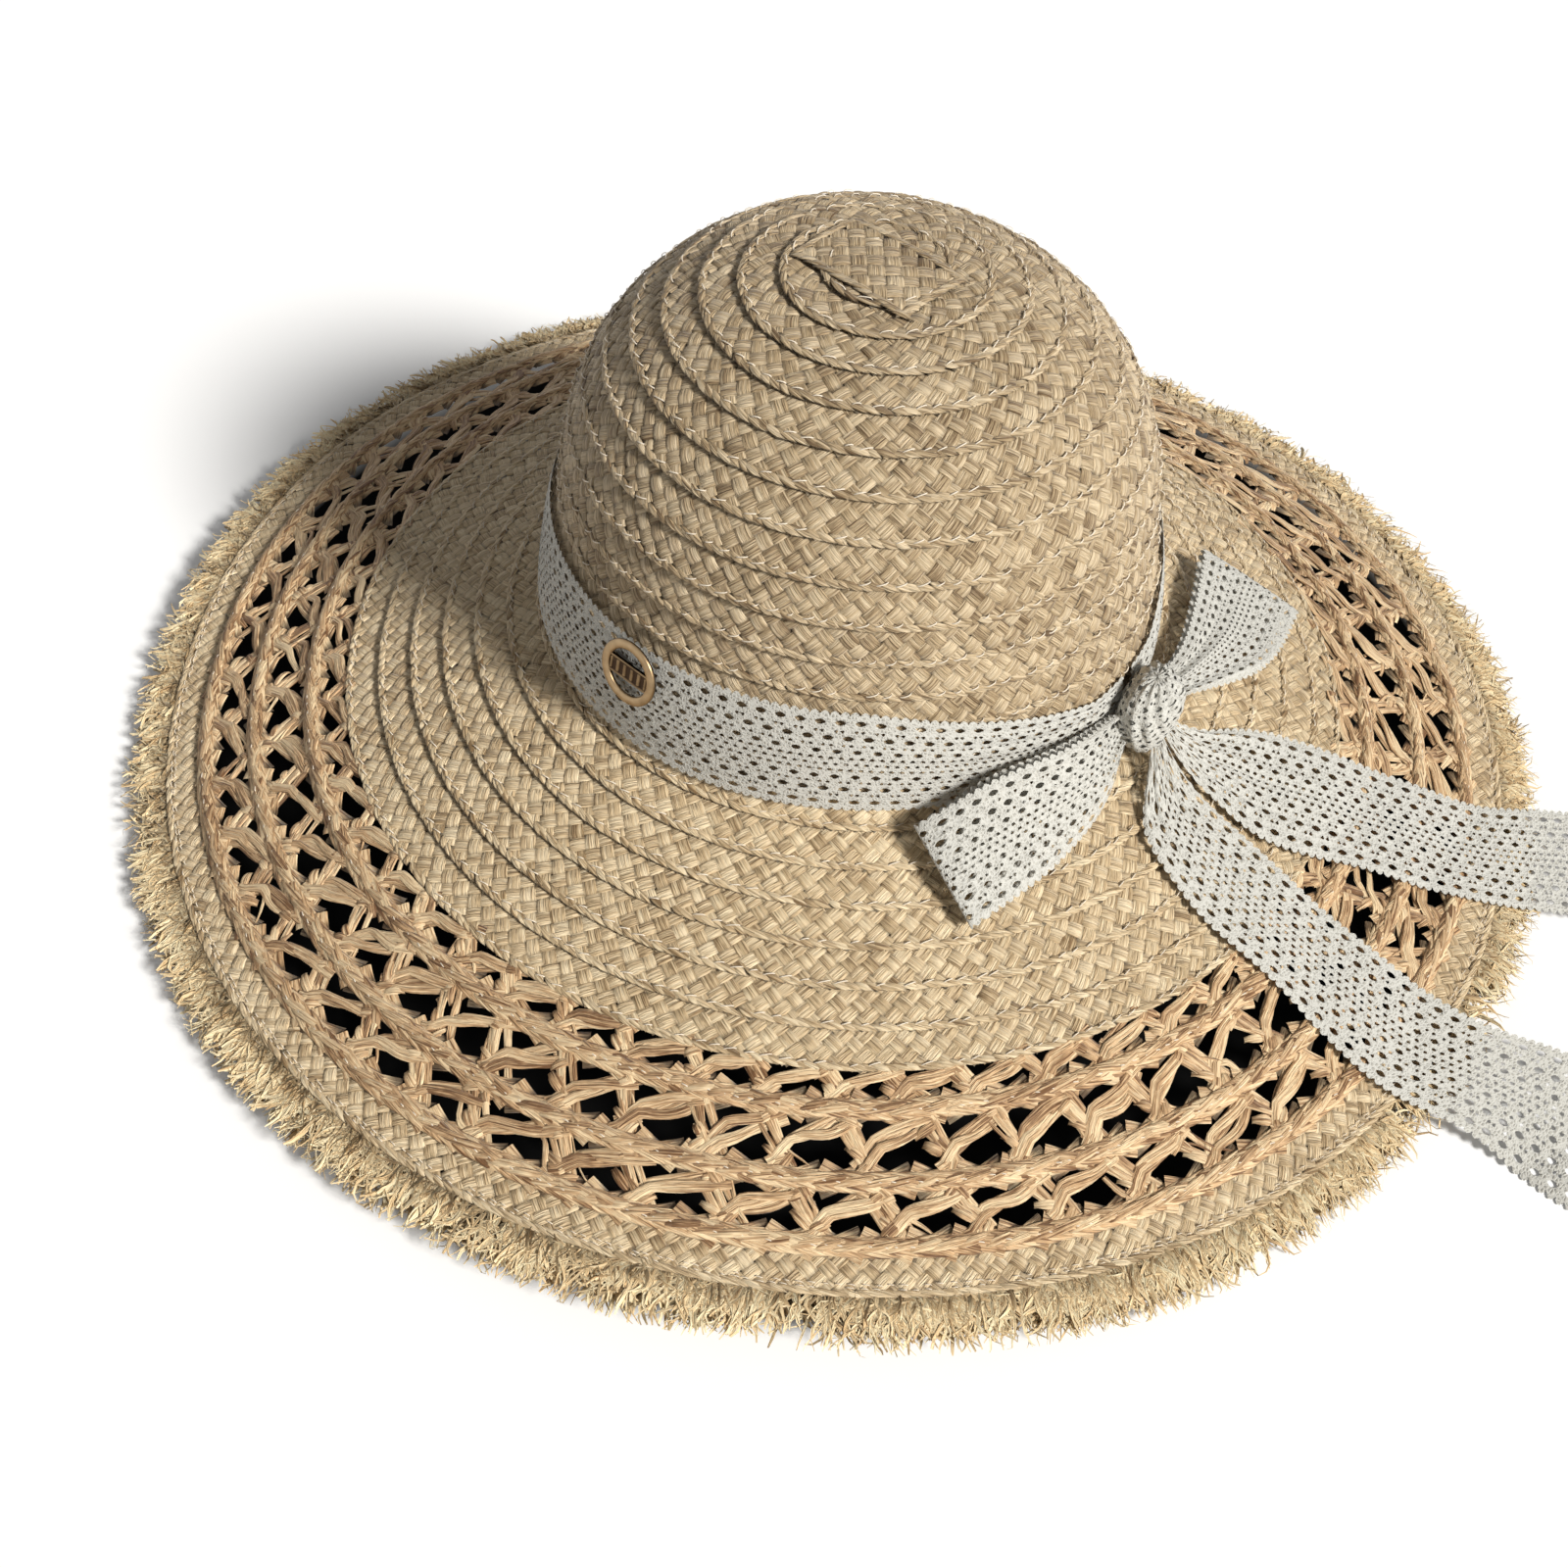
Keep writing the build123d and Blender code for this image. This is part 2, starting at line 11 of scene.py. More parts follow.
from mathutils import Matrix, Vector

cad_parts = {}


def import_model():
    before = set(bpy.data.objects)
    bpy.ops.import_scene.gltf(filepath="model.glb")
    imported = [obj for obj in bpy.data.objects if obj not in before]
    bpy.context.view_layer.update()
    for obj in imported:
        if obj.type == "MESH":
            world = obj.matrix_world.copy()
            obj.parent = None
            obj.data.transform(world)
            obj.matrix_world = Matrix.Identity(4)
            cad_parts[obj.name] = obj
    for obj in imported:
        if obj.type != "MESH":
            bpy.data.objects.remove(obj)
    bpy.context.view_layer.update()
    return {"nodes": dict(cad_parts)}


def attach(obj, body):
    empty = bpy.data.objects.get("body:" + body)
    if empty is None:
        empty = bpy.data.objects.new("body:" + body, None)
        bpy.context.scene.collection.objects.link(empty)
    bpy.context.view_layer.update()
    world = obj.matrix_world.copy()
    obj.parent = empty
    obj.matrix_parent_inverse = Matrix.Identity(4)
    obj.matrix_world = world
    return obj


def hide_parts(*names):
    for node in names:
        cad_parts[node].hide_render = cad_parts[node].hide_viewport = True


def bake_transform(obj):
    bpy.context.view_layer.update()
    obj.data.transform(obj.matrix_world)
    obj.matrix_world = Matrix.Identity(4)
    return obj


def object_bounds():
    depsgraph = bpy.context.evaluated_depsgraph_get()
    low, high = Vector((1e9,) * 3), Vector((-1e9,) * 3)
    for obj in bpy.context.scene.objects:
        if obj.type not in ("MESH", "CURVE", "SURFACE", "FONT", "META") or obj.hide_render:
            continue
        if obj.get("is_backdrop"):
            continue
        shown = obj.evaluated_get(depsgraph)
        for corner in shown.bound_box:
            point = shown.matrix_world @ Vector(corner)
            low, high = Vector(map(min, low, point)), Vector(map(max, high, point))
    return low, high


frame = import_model()
rng = np.random.default_rng(20)

# ---- The straw's form ---------------------------------------------------------------------------
# The hat is one curved section swept round the head: a domed crown, a soft bend and a wide brim
# whose edge dips at three places and kinks beside the bow. Every piece is laid along this form.
CROWN_BASE = 92.6  # radii, in mm
CROWN_WAIST = 85.3
BRIM_END = 228.1
WAIST_HEIGHT = 46.4
CROWN_TOP = 115.5
DOME_ROWS = 250  # steps of the section that lie on the dome


def brim_fall(r):
    """Height of the brim at a radius, before its dips."""
    out = r - CROWN_BASE
    return -(0.5195 * out - 0.0008 * out * out)


def section():
    """Arc length, radius and height of the straw's middle from the tip outwards, every half mm."""
    turn = np.linspace(0, math.pi / 2, 181)
    down = np.linspace(0, 1, 50)[1:]
    flare = CROWN_BASE - CROWN_WAIST
    brim = np.linspace(CROWN_BASE, BRIM_END + 40, 220)[1:]
    r = np.concatenate([CROWN_WAIST * np.sin(turn) ** 0.847,
                        CROWN_WAIST + (flare + 5.7) * down - 5.7 * down**2, brim])
    z = np.concatenate([WAIST_HEIGHT + (CROWN_TOP - WAIST_HEIGHT) * np.cos(turn),
                        WAIST_HEIGHT * (1 - down), brim_fall(brim)])
    s = np.concatenate([[0], np.cumsum(np.hypot(np.diff(r), np.diff(z)))])
    even = np.arange(0, s[-1], 0.5)
    r, z = np.interp(even, s, r), np.interp(even, s, z)
    kernel = np.hanning(33) / np.hanning(33).sum()
    keep = np.clip((even - 40) / 20, 0, 1)
    soft = [np.convolve(np.pad(a, 16, "edge"), kernel, "valid") for a in (r, z)]
    r, z = (a + keep * (b - a) for a, b in zip((r, z), soft))
    r, z = r[:-16], z[:-16]
    s = np.concatenate([[0], np.cumsum(np.hypot(np.diff(r), np.diff(z)))])
    return s, r, z


ARC, ARC_R, ARC_Z = section()
RUN_R, RUN_Z = (np.convolve(np.pad(np.gradient(a, ARC), 2, "edge"), np.ones(5) / 5, "valid")
                for a in (ARC_R, ARC_Z))
RUN_LENGTH = np.hypot(RUN_R, RUN_Z)


def arc_at(r):
    """Arc length at a radius of the brim."""
    return np.interp(r, ARC_R[DOME_ROWS:], ARC[DOME_ROWS:])


def wave(r, azimuth):
    """How far the brim rises or dips: three lobes, a fold beside the bow and an uneven hand."""
    reach = np.clip(r - CROWN_BASE - 6, 0, BRIM_END - CROWN_BASE) / (BRIM_END - CROWN_BASE)
    lobes = -4.5 * np.cos(np.radians(3 * (azimuth + 42)))
    off = (azimuth + 28 + 180) % 360 - 180
    fold = 6 * np.exp(-((off / 8) ** 2))
    uneven = 0.5 * np.sin(np.radians(7 * azimuth + 40)) + 0.3 * np.sin(np.radians(13 * azimuth))
    return (lobes + fold + uneven) * reach**1.8


def joined(*values):
    return np.stack(np.broadcast_arrays(*values), -1)


def on_hat(s, azimuth, lift):
    """Points in metres, at arc lengths, azimuths and lifts off the middle of the straw."""
    s, azimuth, lift = np.broadcast_arrays(s, azimuth, lift)
    r, z = np.interp(s, ARC, ARC_R), np.interp(s, ARC, ARC_Z)
    size = np.interp(s, ARC, RUN_LENGTH)
    z = z + wave(r, azimuth) + np.interp(s, ARC, RUN_R) / size * lift
    r = r - np.interp(s, ARC, RUN_Z) / size * lift
    around = np.radians(azimuth)
    return joined(r * np.cos(around), r * np.sin(around), z) * 0.001


def form_z(x, y):
    """Height in mm of the middle of the straw at a point of the brim."""
    r = np.hypot(x, y)
    azimuth = np.degrees(np.arctan2(y, x))
    return np.interp(r, ARC_R[DOME_ROWS:], ARC_Z[DOME_ROWS:]) + wave(r, azimuth)


def piece(name, grids, material, nodes=(), body="hat", keep=None):
    """One mesh from grids of points (strips, along, across), each with its strand
    coordinates in mm, a tone and how far it stands proud, from 0 to 1."""
    points, quads, uvs, tones, prouds, first = [], [], [], [], [], 0
    for xyz, uv, tone, proud in grids:
        strips, rows, cols = xyz.shape[:3]
        corner = np.arange(strips * rows * cols).reshape(strips, rows, cols) + first
        cell = np.stack([corner[:, :-1, :-1], corner[:, :-1, 1:], corner[:, 1:, 1:],
                         corner[:, 1:, :-1]], -1).reshape(-1, 4)
        quads.append(cell if keep is None else cell[keep.ravel()])
        points.append(xyz.reshape(-1, 3))
        uvs.append(np.broadcast_to(uv, xyz.shape[:3] + (2,)).reshape(-1, 2))
        tones.append(np.broadcast_to(tone, xyz.shape[:3]).ravel())
        prouds.append(np.broadcast_to(proud, xyz.shape[:3]).ravel())
        first += strips * rows * cols
    points, quads, uvs = np.concatenate(points), np.concatenate(quads), np.concatenate(uvs)
    tones, prouds = np.concatenate(tones), np.concatenate(prouds)
    if keep is not None:
        used, flat = np.unique(quads, return_inverse=True)
        quads = flat.reshape(-1, 4)
        points, uvs, tones, prouds = points[used], uvs[used], tones[used], prouds[used]
    mesh = bpy.data.meshes.new(name)
    mesh.vertices.add(len(points))
    mesh.vertices.foreach_set("co", points.astype(np.float32).ravel())
    mesh.loops.add(quads.size)
    mesh.loops.foreach_set("vertex_index", quads.astype(np.int32).ravel())
    mesh.polygons.add(len(quads))
    mesh.polygons.foreach_set("loop_start", np.arange(0, quads.size, 4, dtype=np.int32))
    mesh.polygons.foreach_set("use_smooth", np.ones(len(quads), bool))
    mesh.update(calc_edges=True)
    layer = mesh.uv_layers.new(name="strand")
    layer.data.foreach_set("uv", uvs[quads.ravel()].astype(np.float32).ravel())
    for label, values in (("tone", tones), ("proud", prouds)):
        attribute = mesh.attributes.new(label, "FLOAT", "POINT")
        attribute.data.foreach_set("value", values.astype(np.float32))
    mesh.materials.append(material)
    obj = bpy.data.objects.new(name, mesh)
    bpy.context.scene.collection.objects.link(obj)
    if body:
        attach(obj, body)
    if nodes:
        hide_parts(*nodes)
    return obj


# ---- Materials of the straw ---------------------------------------------------------------------
# Undyed raffia: flat dried palm strands with fine lengthwise fibres, each a little different
# in colour. All the straw shares one fibre effect, with its own colours in each part of the hat.
def add(tree, kind, links=(), **settings):
    """A node with its settings, and its inputs linked or set by name or number."""
    node = tree.nodes.new(kind)
    for label, value in settings.items():
        setattr(node, label, value)
    for label, value in dict(links).items():
        if isinstance(value, bpy.types.NodeSocket):
            tree.links.new(value, node.inputs[label])
        else:
            node.inputs[label].default_value = value
    return node


def ramp(tree, value, stops):
    """Colours by a value, each stop a place and a colour."""
    node = add(tree, "ShaderNodeValToRGB", {0: value})
    while len(node.color_ramp.elements) < len(stops):
        node.color_ramp.elements.new(0.5)
    for element, (place, color) in zip(node.color_ramp.elements, stops):
        element.position = place
        element.color = (*color, 1)
    return node.outputs["Color"]


def maths(tree, operation, *values):
    return add(tree, "ShaderNodeMath", enumerate(values), operation=operation).outputs[0]


def noise(tree, vector, scale, detail, **settings):
    return add(tree, "ShaderNodeTexNoise", {"Vector": vector, "Scale": scale, "Detail": detail,
                                            **settings}).outputs[0]


def strand_place(tree):
    """Each strand's own coordinates in mm."""
    return add(tree, "ShaderNodeUVMap", uv_map="strand").outputs[0]


def strand_value(tree, name):
    return add(tree, "ShaderNodeAttribute", attribute_name=name).outputs["Fac"]


def new_material(name):
    """A material, its node tree and its shader."""
    material = bpy.data.materials.new(name)
    material.use_nodes = True
    return material, material.node_tree, material.node_tree.nodes["Principled BSDF"]


def bumped(tree, shader, height, strength, distance):
    bump = add(tree, "ShaderNodeBump", {"Height": height, "Strength": strength,
                                        "Distance": distance})
    tree.links.new(bump.outputs[0], shader.inputs["Normal"])


def fibre_effect():
    """Fibre colours and their height, from dark, middle and pale colours and a contrast."""
    group = bpy.data.node_groups.new("raffia fibres", "ShaderNodeTree")
    for label, kind, way in (("Pale", "Color", "INPUT"), ("Middle", "Color", "INPUT"),
                             ("Dark", "Color", "INPUT"), ("Contrast", "Float", "INPUT"),
                             ("Color", "Color", "OUTPUT"), ("Height", "Float", "OUTPUT")):
        group.interface.new_socket(label, in_out=way, socket_type="NodeSocket" + kind)
    given, result = group.nodes.new("NodeGroupInput"), group.nodes.new("NodeGroupOutput")
    uv = strand_place(group)
    tone, proud = strand_value(group, "tone"), strand_value(group, "proud")
    fine = add(group, "ShaderNodeMapping", {0: uv, "Scale": (0.05, 1.35, 1)}).outputs[0]
    coarse = add(group, "ShaderNodeMapping", {0: uv, "Scale": (0.04, 0.45, 1)}).outputs[0]
    fibres = noise(group, fine, 1.0, 3.0, Roughness=0.75)
    bands = noise(group, coarse, 1.0, 2.0)
    mottle = noise(group, uv, 0.3, 2.0)
    # lengthwise fibres, wider bands, mottling and each strand's own tone, from dark to pale
    value = maths(group, "MULTIPLY_ADD", fibres, 2.4, 0.0)
    value = maths(group, "MULTIPLY_ADD", bands, 0.5, value)
    value = maths(group, "MULTIPLY_ADD", mottle, 0.3, value)
    value = maths(group, "MULTIPLY_ADD", tone, 0.30, value)
    value = maths(group, "SUBTRACT", value, 1.72)
    value = maths(group, "MULTIPLY_ADD", value, given.outputs["Contrast"], 0.5)
    below = maths(group, "MULTIPLY", value, 2.0)
    low = add(group, "ShaderNodeMix", {0: below, 6: given.outputs["Dark"],
                                       7: given.outputs["Middle"]}, data_type="RGBA").outputs[2]
    high = maths(group, "MULTIPLY_ADD", value, 2.0, -1.0)
    color = add(group, "ShaderNodeMix", {0: high, 6: low, 7: given.outputs["Pale"]},
                data_type="RGBA").outputs[2]
    # painted shade: darker where a strand dips under the next, by how far it stands proud
    shade = add(group, "ShaderNodeMapRange", {0: proud, 1: 0.0, 2: 0.62, 3: 0.22,
                                              4: 1.0}).outputs[0]
    color = add(group, "ShaderNodeMix", {0: 1.0, 6: color, 7: shade}, data_type="RGBA",
                blend_type="MULTIPLY").outputs[2]
    group.links.new(color, result.inputs["Color"])
    group.links.new(fibres, result.inputs["Height"])
    return group


FIBRES = fibre_effect()


def straw(name, pale, middle, dark, contrast):
    material, tree, shader = new_material(name)
    fibres = add(tree, "ShaderNodeGroup", node_tree=FIBRES)
    for label, value in (("Pale", pale), ("Middle", middle), ("Dark", dark)):
        fibres.inputs[label].default_value = (*value, 1)
    fibres.inputs["Contrast"].default_value = contrast
    tree.links.new(fibres.outputs["Color"], shader.inputs["Base Color"])
    bumped(tree, shader, fibres.outputs["Height"], 1.0, 0.0016)
    for label, value in (("Roughness", 0.52), ("Specular IOR Level", 0.35),
                         ("Sheen Weight", 0.12), ("Sheen Roughness", 0.4)):
        shader.inputs[label].default_value = value
    return material


CROWN_STRAW = straw("crown straw", (0.78, 0.63, 0.42), (0.50, 0.37, 0.215),
                    (0.15, 0.09, 0.04), 1.35)
BRIM_STRAW = straw("brim straw", (0.96, 0.79, 0.53), (0.70, 0.525, 0.31),
                   (0.25, 0.155, 0.07), 1.35)
OPEN_STRAW = straw("openwork straw", (0.98, 0.755, 0.465), (0.68, 0.435, 0.23),
                   (0.19, 0.09, 0.035), 1.65)
FRINGE_STRAW = straw("fringe straw", (1.0, 0.86, 0.56), (0.88, 0.63, 0.335),
                     (0.28, 0.15, 0.055), 1.3)

# ---- Crown and brim braid -----------------------------------------------------------------------
# One long flat plait of raffia, coiled from the tip and sewn with each turn lapping the next.
# Its strands cross at forty-five degrees, over and under, and its outer edge is a narrow twist.
TURNS = 21
CROWN_TURNS = 14
PITCH = 11.16  # from one turn's edge to the next
WIDTH = 13.2
WOVEN = 11.9  # the plaited part of the width
LIFT = 0.769  # the lap raises each turn's outer edge and sinks its inner one
SOLID_RADIUS = 157.2
SOLID_ARC = float(arc_at(SOLID_RADIUS))
START_ARC = SOLID_ARC - PITCH * (TURNS - 0.5)
SEAM = 90.0
TUCK = 0.08  # share of the last turn in which the end tucks in
TWIST_STEP = 2.95
# A strand's section: places across it from -1 to 1, and its height there in mm.
ACROSS = np.array([-1.0, -0.84, -0.40, 0.04, 0.45, 0.86, 1.0])
DOME = np.array([-0.42, -0.10, 0.05, 0.02, 0.06, -0.11, -0.42])

COIL = np.linspace(0, TURNS, TURNS * 240 + 1)
COIL_MIDDLE = np.maximum(START_ARC + PITCH * COIL - WIDTH / 2, 3.2)
COIL_LENGTH = np.concatenate([[0], np.cumsum(np.diff(COIL) * 2 * math.pi
                                             * np.interp(COIL_MIDDLE[1:], ARC, ARC_R))])


def coil_outer(turn):
    """Outer edge of the coil at a whole or part turn: the end joins an even edge, then tucks in."""
    nominal = START_ARC + PITCH * turn
    share = np.clip(turn - (TURNS - 1), 0, 1)
    tuck = np.minimum((1 - share) / TUCK, 1)
    last = SOLID_ARC - PITCH / 2 * (1 - np.minimum(2 * share, 1) * tuck)
    return np.where(turn < TURNS - 1, nominal, last)


def on_coil(along, across, lift):
    """A point of the coiled braid, by its length along, place across and lift, in mm."""
    turn = np.interp(along, COIL_LENGTH, COIL)
    nominal = START_ARC + PITCH * turn
    inner = np.maximum(nominal - WIDTH, 1.2)
    s = inner + (coil_outer(turn) - inner) * across / WIDTH
    tilt = LIFT * (2 * (s - nominal) / WIDTH + 1)
    return on_hat(s, SEAM + 360 * turn, tilt + lift)


def strand_map(along, across, shape):
    """Strand coordinates in mm, each strand at its own place in the fibres."""
    return joined(along, across + 40 * rng.random(shape)[..., None])


def plait(place, start, end, width, ways, height, lean=1.0, fill=1.03, clip=None, trim=-0.02):
    """Strands of a flat plait between two lengths: each runs across at a slant, over and under."""
    step = 2 * lean * width / ways
    slant = math.hypot(1, lean)
    half = step / slant / 2 * fill
    grids = []
    for way in (1, -1):
        first = math.ceil((start - way * lean * width / 2) / step)
        last = math.ceil((end - way * lean * width / 2) / step)
        index = np.arange(first, last)[:, None]
        begin, finish = np.full(index.shape, trim), np.full(index.shape, 1 - trim)
        if clip is not None:
            ends = [(edge - index * step) / (way * lean * width) for edge in clip]
            begin = np.clip(np.minimum(*ends), trim, 1 - trim)
            finish = np.clip(np.maximum(*ends), trim, 1 - trim)
            real = (finish - begin)[:, 0] > 0.05
            index, begin, finish = index[real], begin[real], finish[real]
        t = begin + (finish - begin) * np.linspace(0, 1, ways * 4 + 1)[None]
        across = width * t
        along = index * step + way * lean * across
        swing = np.cos(math.pi * ways * t)
        rise = way * height * np.sign(swing) * np.abs(swing) ** 0.7
        side = half * (1 + 0.07 * rng.standard_normal(index.shape))[..., None] * ACROSS
        wobble = (0.2 * rng.standard_normal(index.shape)
                  + 0.35 * rng.standard_normal(index.shape) * t)[..., None]
        u = along[..., None] + wobble + side / slant
        v = across[..., None] - way * side * lean / slant
        up = (rise[..., None] + DOME * half / 2.0
              + 0.07 * rng.standard_normal(index.shape)[..., None])
        xyz = place(u, v, up)
        tone = rng.normal(0.5, 0.2, index.shape)
        cells = np.floor(ways * t / 2 + (0.5 if way > 0 else 0)).astype(int)
        cell_tone = rng.normal(0, 0.16, (len(index), ways + 2))
        tone = (tone + np.take_along_axis(cell_tone, cells, 1))[..., None]
        uv = strand_map(across[..., None] * slant, side, index.shape)
        # proud carries painted shade: low where the strand dips under the next and at its edges
        proud = (rise / height * 0.5 + 0.5)[..., None] - 0.36 * np.abs(ACROSS) ** 5
        grids.append((xyz, uv, tone, proud))
    return grids


def twist(place, start, end, low, high, step, reach, proud_by=0.75):
    """Narrow slanted strands that overlap along a braid's edge, like a twisted cord."""
    index = np.arange(math.ceil(start / step), math.ceil(end / step))[:, None]
    t = np.linspace(0, 1, 8)[None]
    along = (index * step + reach * (1 + 0.15 * rng.standard_normal(index.shape)) * (t - 0.5)
             + 0.35 * rng.standard_normal(index.shape))
    across = low + (high - low) * (t + 0.04 * rng.standard_normal(index.shape))
    half = (high - low) * 0.42 * np.sin(math.pi * np.clip(t, 0.03, 0.98)) ** 0.8
    cross = ACROSS * half[..., None]
    u = along[..., None] + 0.35 * cross
    v = across[..., None] - cross
    bulge = (proud_by + 0.12 * rng.standard_normal(index.shape)) * np.sin(math.pi * t) ** 0.8
    up = bulge[..., None] + DOME * 0.8 - 0.1
    tone = rng.normal(0.5, 0.4, index.shape)[..., None]
    uv = strand_map(along[..., None], cross, index.shape)
    # proud carries painted shade: low at the strand's tucked ends and at its edges
    proud = (0.15 + 0.85 * np.sin(math.pi * t))[..., None] - 0.5 * np.abs(ACROSS) ** 3
    return [(place(u, v, up), uv, tone, proud)]


for turn in range(TURNS):
    start, end = np.interp([turn, turn + 1], COIL, COIL_LENGTH)
    grids = plait(on_coil, start, end, WOVEN, 4, 0.40)
    grids += twist(on_coil, start, end, WOVEN - 0.7, WIDTH + 0.1, TWIST_STEP, 6.2)
    if turn < CROWN_TURNS:
        name, material, slot = f"crown_braid_turn_{turn + 1:02d}", CROWN_STRAW, "crown_straw"
    else:
        name = f"brim_braid_turn_{turn - CROWN_TURNS + 1:02d}"
        material, slot = BRIM_STRAW, "brim_straw"
    piece(f"{name}_strands", grids, material, [name])

# ---- Tip patch ----------------------------------------------------------------------------------
# The start of the braid, folded over itself into a square-ended patch sewn down on the tip. Its
# plait covers the whole patch, and a narrow twist goes round all four edges.
PATCH = (40.0, 25.2)
PATCH_TURN = math.radians(-40.7)
PATCH_LIFT = 1.3


def on_patch(along, across, lift):
    a, b = along - PATCH[0] / 2, across - PATCH[1] / 2
    x = a * math.cos(PATCH_TURN) - b * math.sin(PATCH_TURN)
    y = a * math.sin(PATCH_TURN) + b * math.cos(PATCH_TURN)
    z = np.interp(np.hypot(x, y), ARC_R[:DOME_ROWS], ARC_Z[:DOME_ROWS]) + PATCH_LIFT + lift
    return joined(x, y, z) * 0.001


grids = plait(on_patch, -PATCH[1], PATCH[0] + PATCH[1], PATCH[1], 8, 0.4,
              clip=(1.2, PATCH[0] - 1.2), trim=0.05)
for low, high in ((-0.2, 1.9), (PATCH[1] - 1.9, PATCH[1] + 0.2)):
    grids += twist(on_patch, 1, PATCH[0] - 1, low, high, TWIST_STEP, 7.0)
for end in (1.0, PATCH[0] - 1.0):
    grids += twist(lambda along, across, lift, end=end: on_patch(end + across, along, lift),
                   0.5, PATCH[1] - 0.5, -1.1, 1.1, 2.6, 6.0)
piece("crown_tip_patch_strands", grids, CROWN_STRAW, ["crown_tip_patch"])

# ---- Openwork rows ------------------------------------------------------------------------------
# Three rows of open plait. Flat strands, two or three together, zigzag between the braid before
# and a thick plaited cord, cross where they turn, and are wrapped there with a short strand.
ROW_RADII = (169.0, 187.2, 203.2)
CORD = 5.9
PERIODS = 54
ROW_SHIFT = 0.37  # of a period, from one row to the next


def solid_edge(azimuth):
    return coil_outer(TURNS - 1 + ((azimuth - SEAM) % 360) / 360)


def around_row(inner, outer, tilt=True):
    """Places a strip round the brim between two arc lengths, by degrees and mm across."""
    def place(along, across, lift):
        rise = LIFT * (2 * across / (outer - inner) - 1) if tilt else 0
        return on_hat(inner + across, along, rise + lift)
    return place


def round_brim(radius, place):
    """The same, by mm along at a radius in place of degrees."""
    return lambda along, across, lift: place(SEAM + np.degrees(along / radius), across, lift)


def open_strands(before, outer, phase, share, half, lift):
    """Flat strands over the gap between two edges: each a path of whole and part periods along,
    shares of the way across and lifts, with half its width."""
    phase, share, half, lift = np.broadcast_arrays(phase, share, half, lift)
    azimuth = SEAM + 360 / PERIODS * phase
    low = before(azimuth) - 1.6
    s = low + (outer - 3.0 - low) * share
    r = np.interp(s, ARC, ARC_R)
    along = np.gradient(np.radians(azimuth) * r.mean(), axis=1)
    over = np.gradient(s, axis=1)
    size = np.hypot(along, over)
    cross = ACROSS * half[..., None]
    azimuth = azimuth[..., None] + np.degrees(cross * (over / size)[..., None] / r[..., None])
    xyz = on_hat(s[..., None] - cross * (along / size)[..., None], azimuth,
                 lift[..., None] + DOME * 0.9)
    count = (len(share), 1)
    tone = rng.normal(0.5, 0.4, count)[..., None]
    uv = strand_map(np.cumsum(size, 1)[..., None], cross, count)
    # the last value is proud, which carries painted shade: low at the strand's edges and where it
    # sinks
    return xyz, uv, tone, 0.8 - 0.5 * np.abs(ACROSS) ** 3 + 0.2 * np.clip(lift, -1, 1)[..., None]


def some(mean, spread):
    """A number for each period of a row, each a little different."""
    return mean + spread * rng.standard_normal((PERIODS, 1))


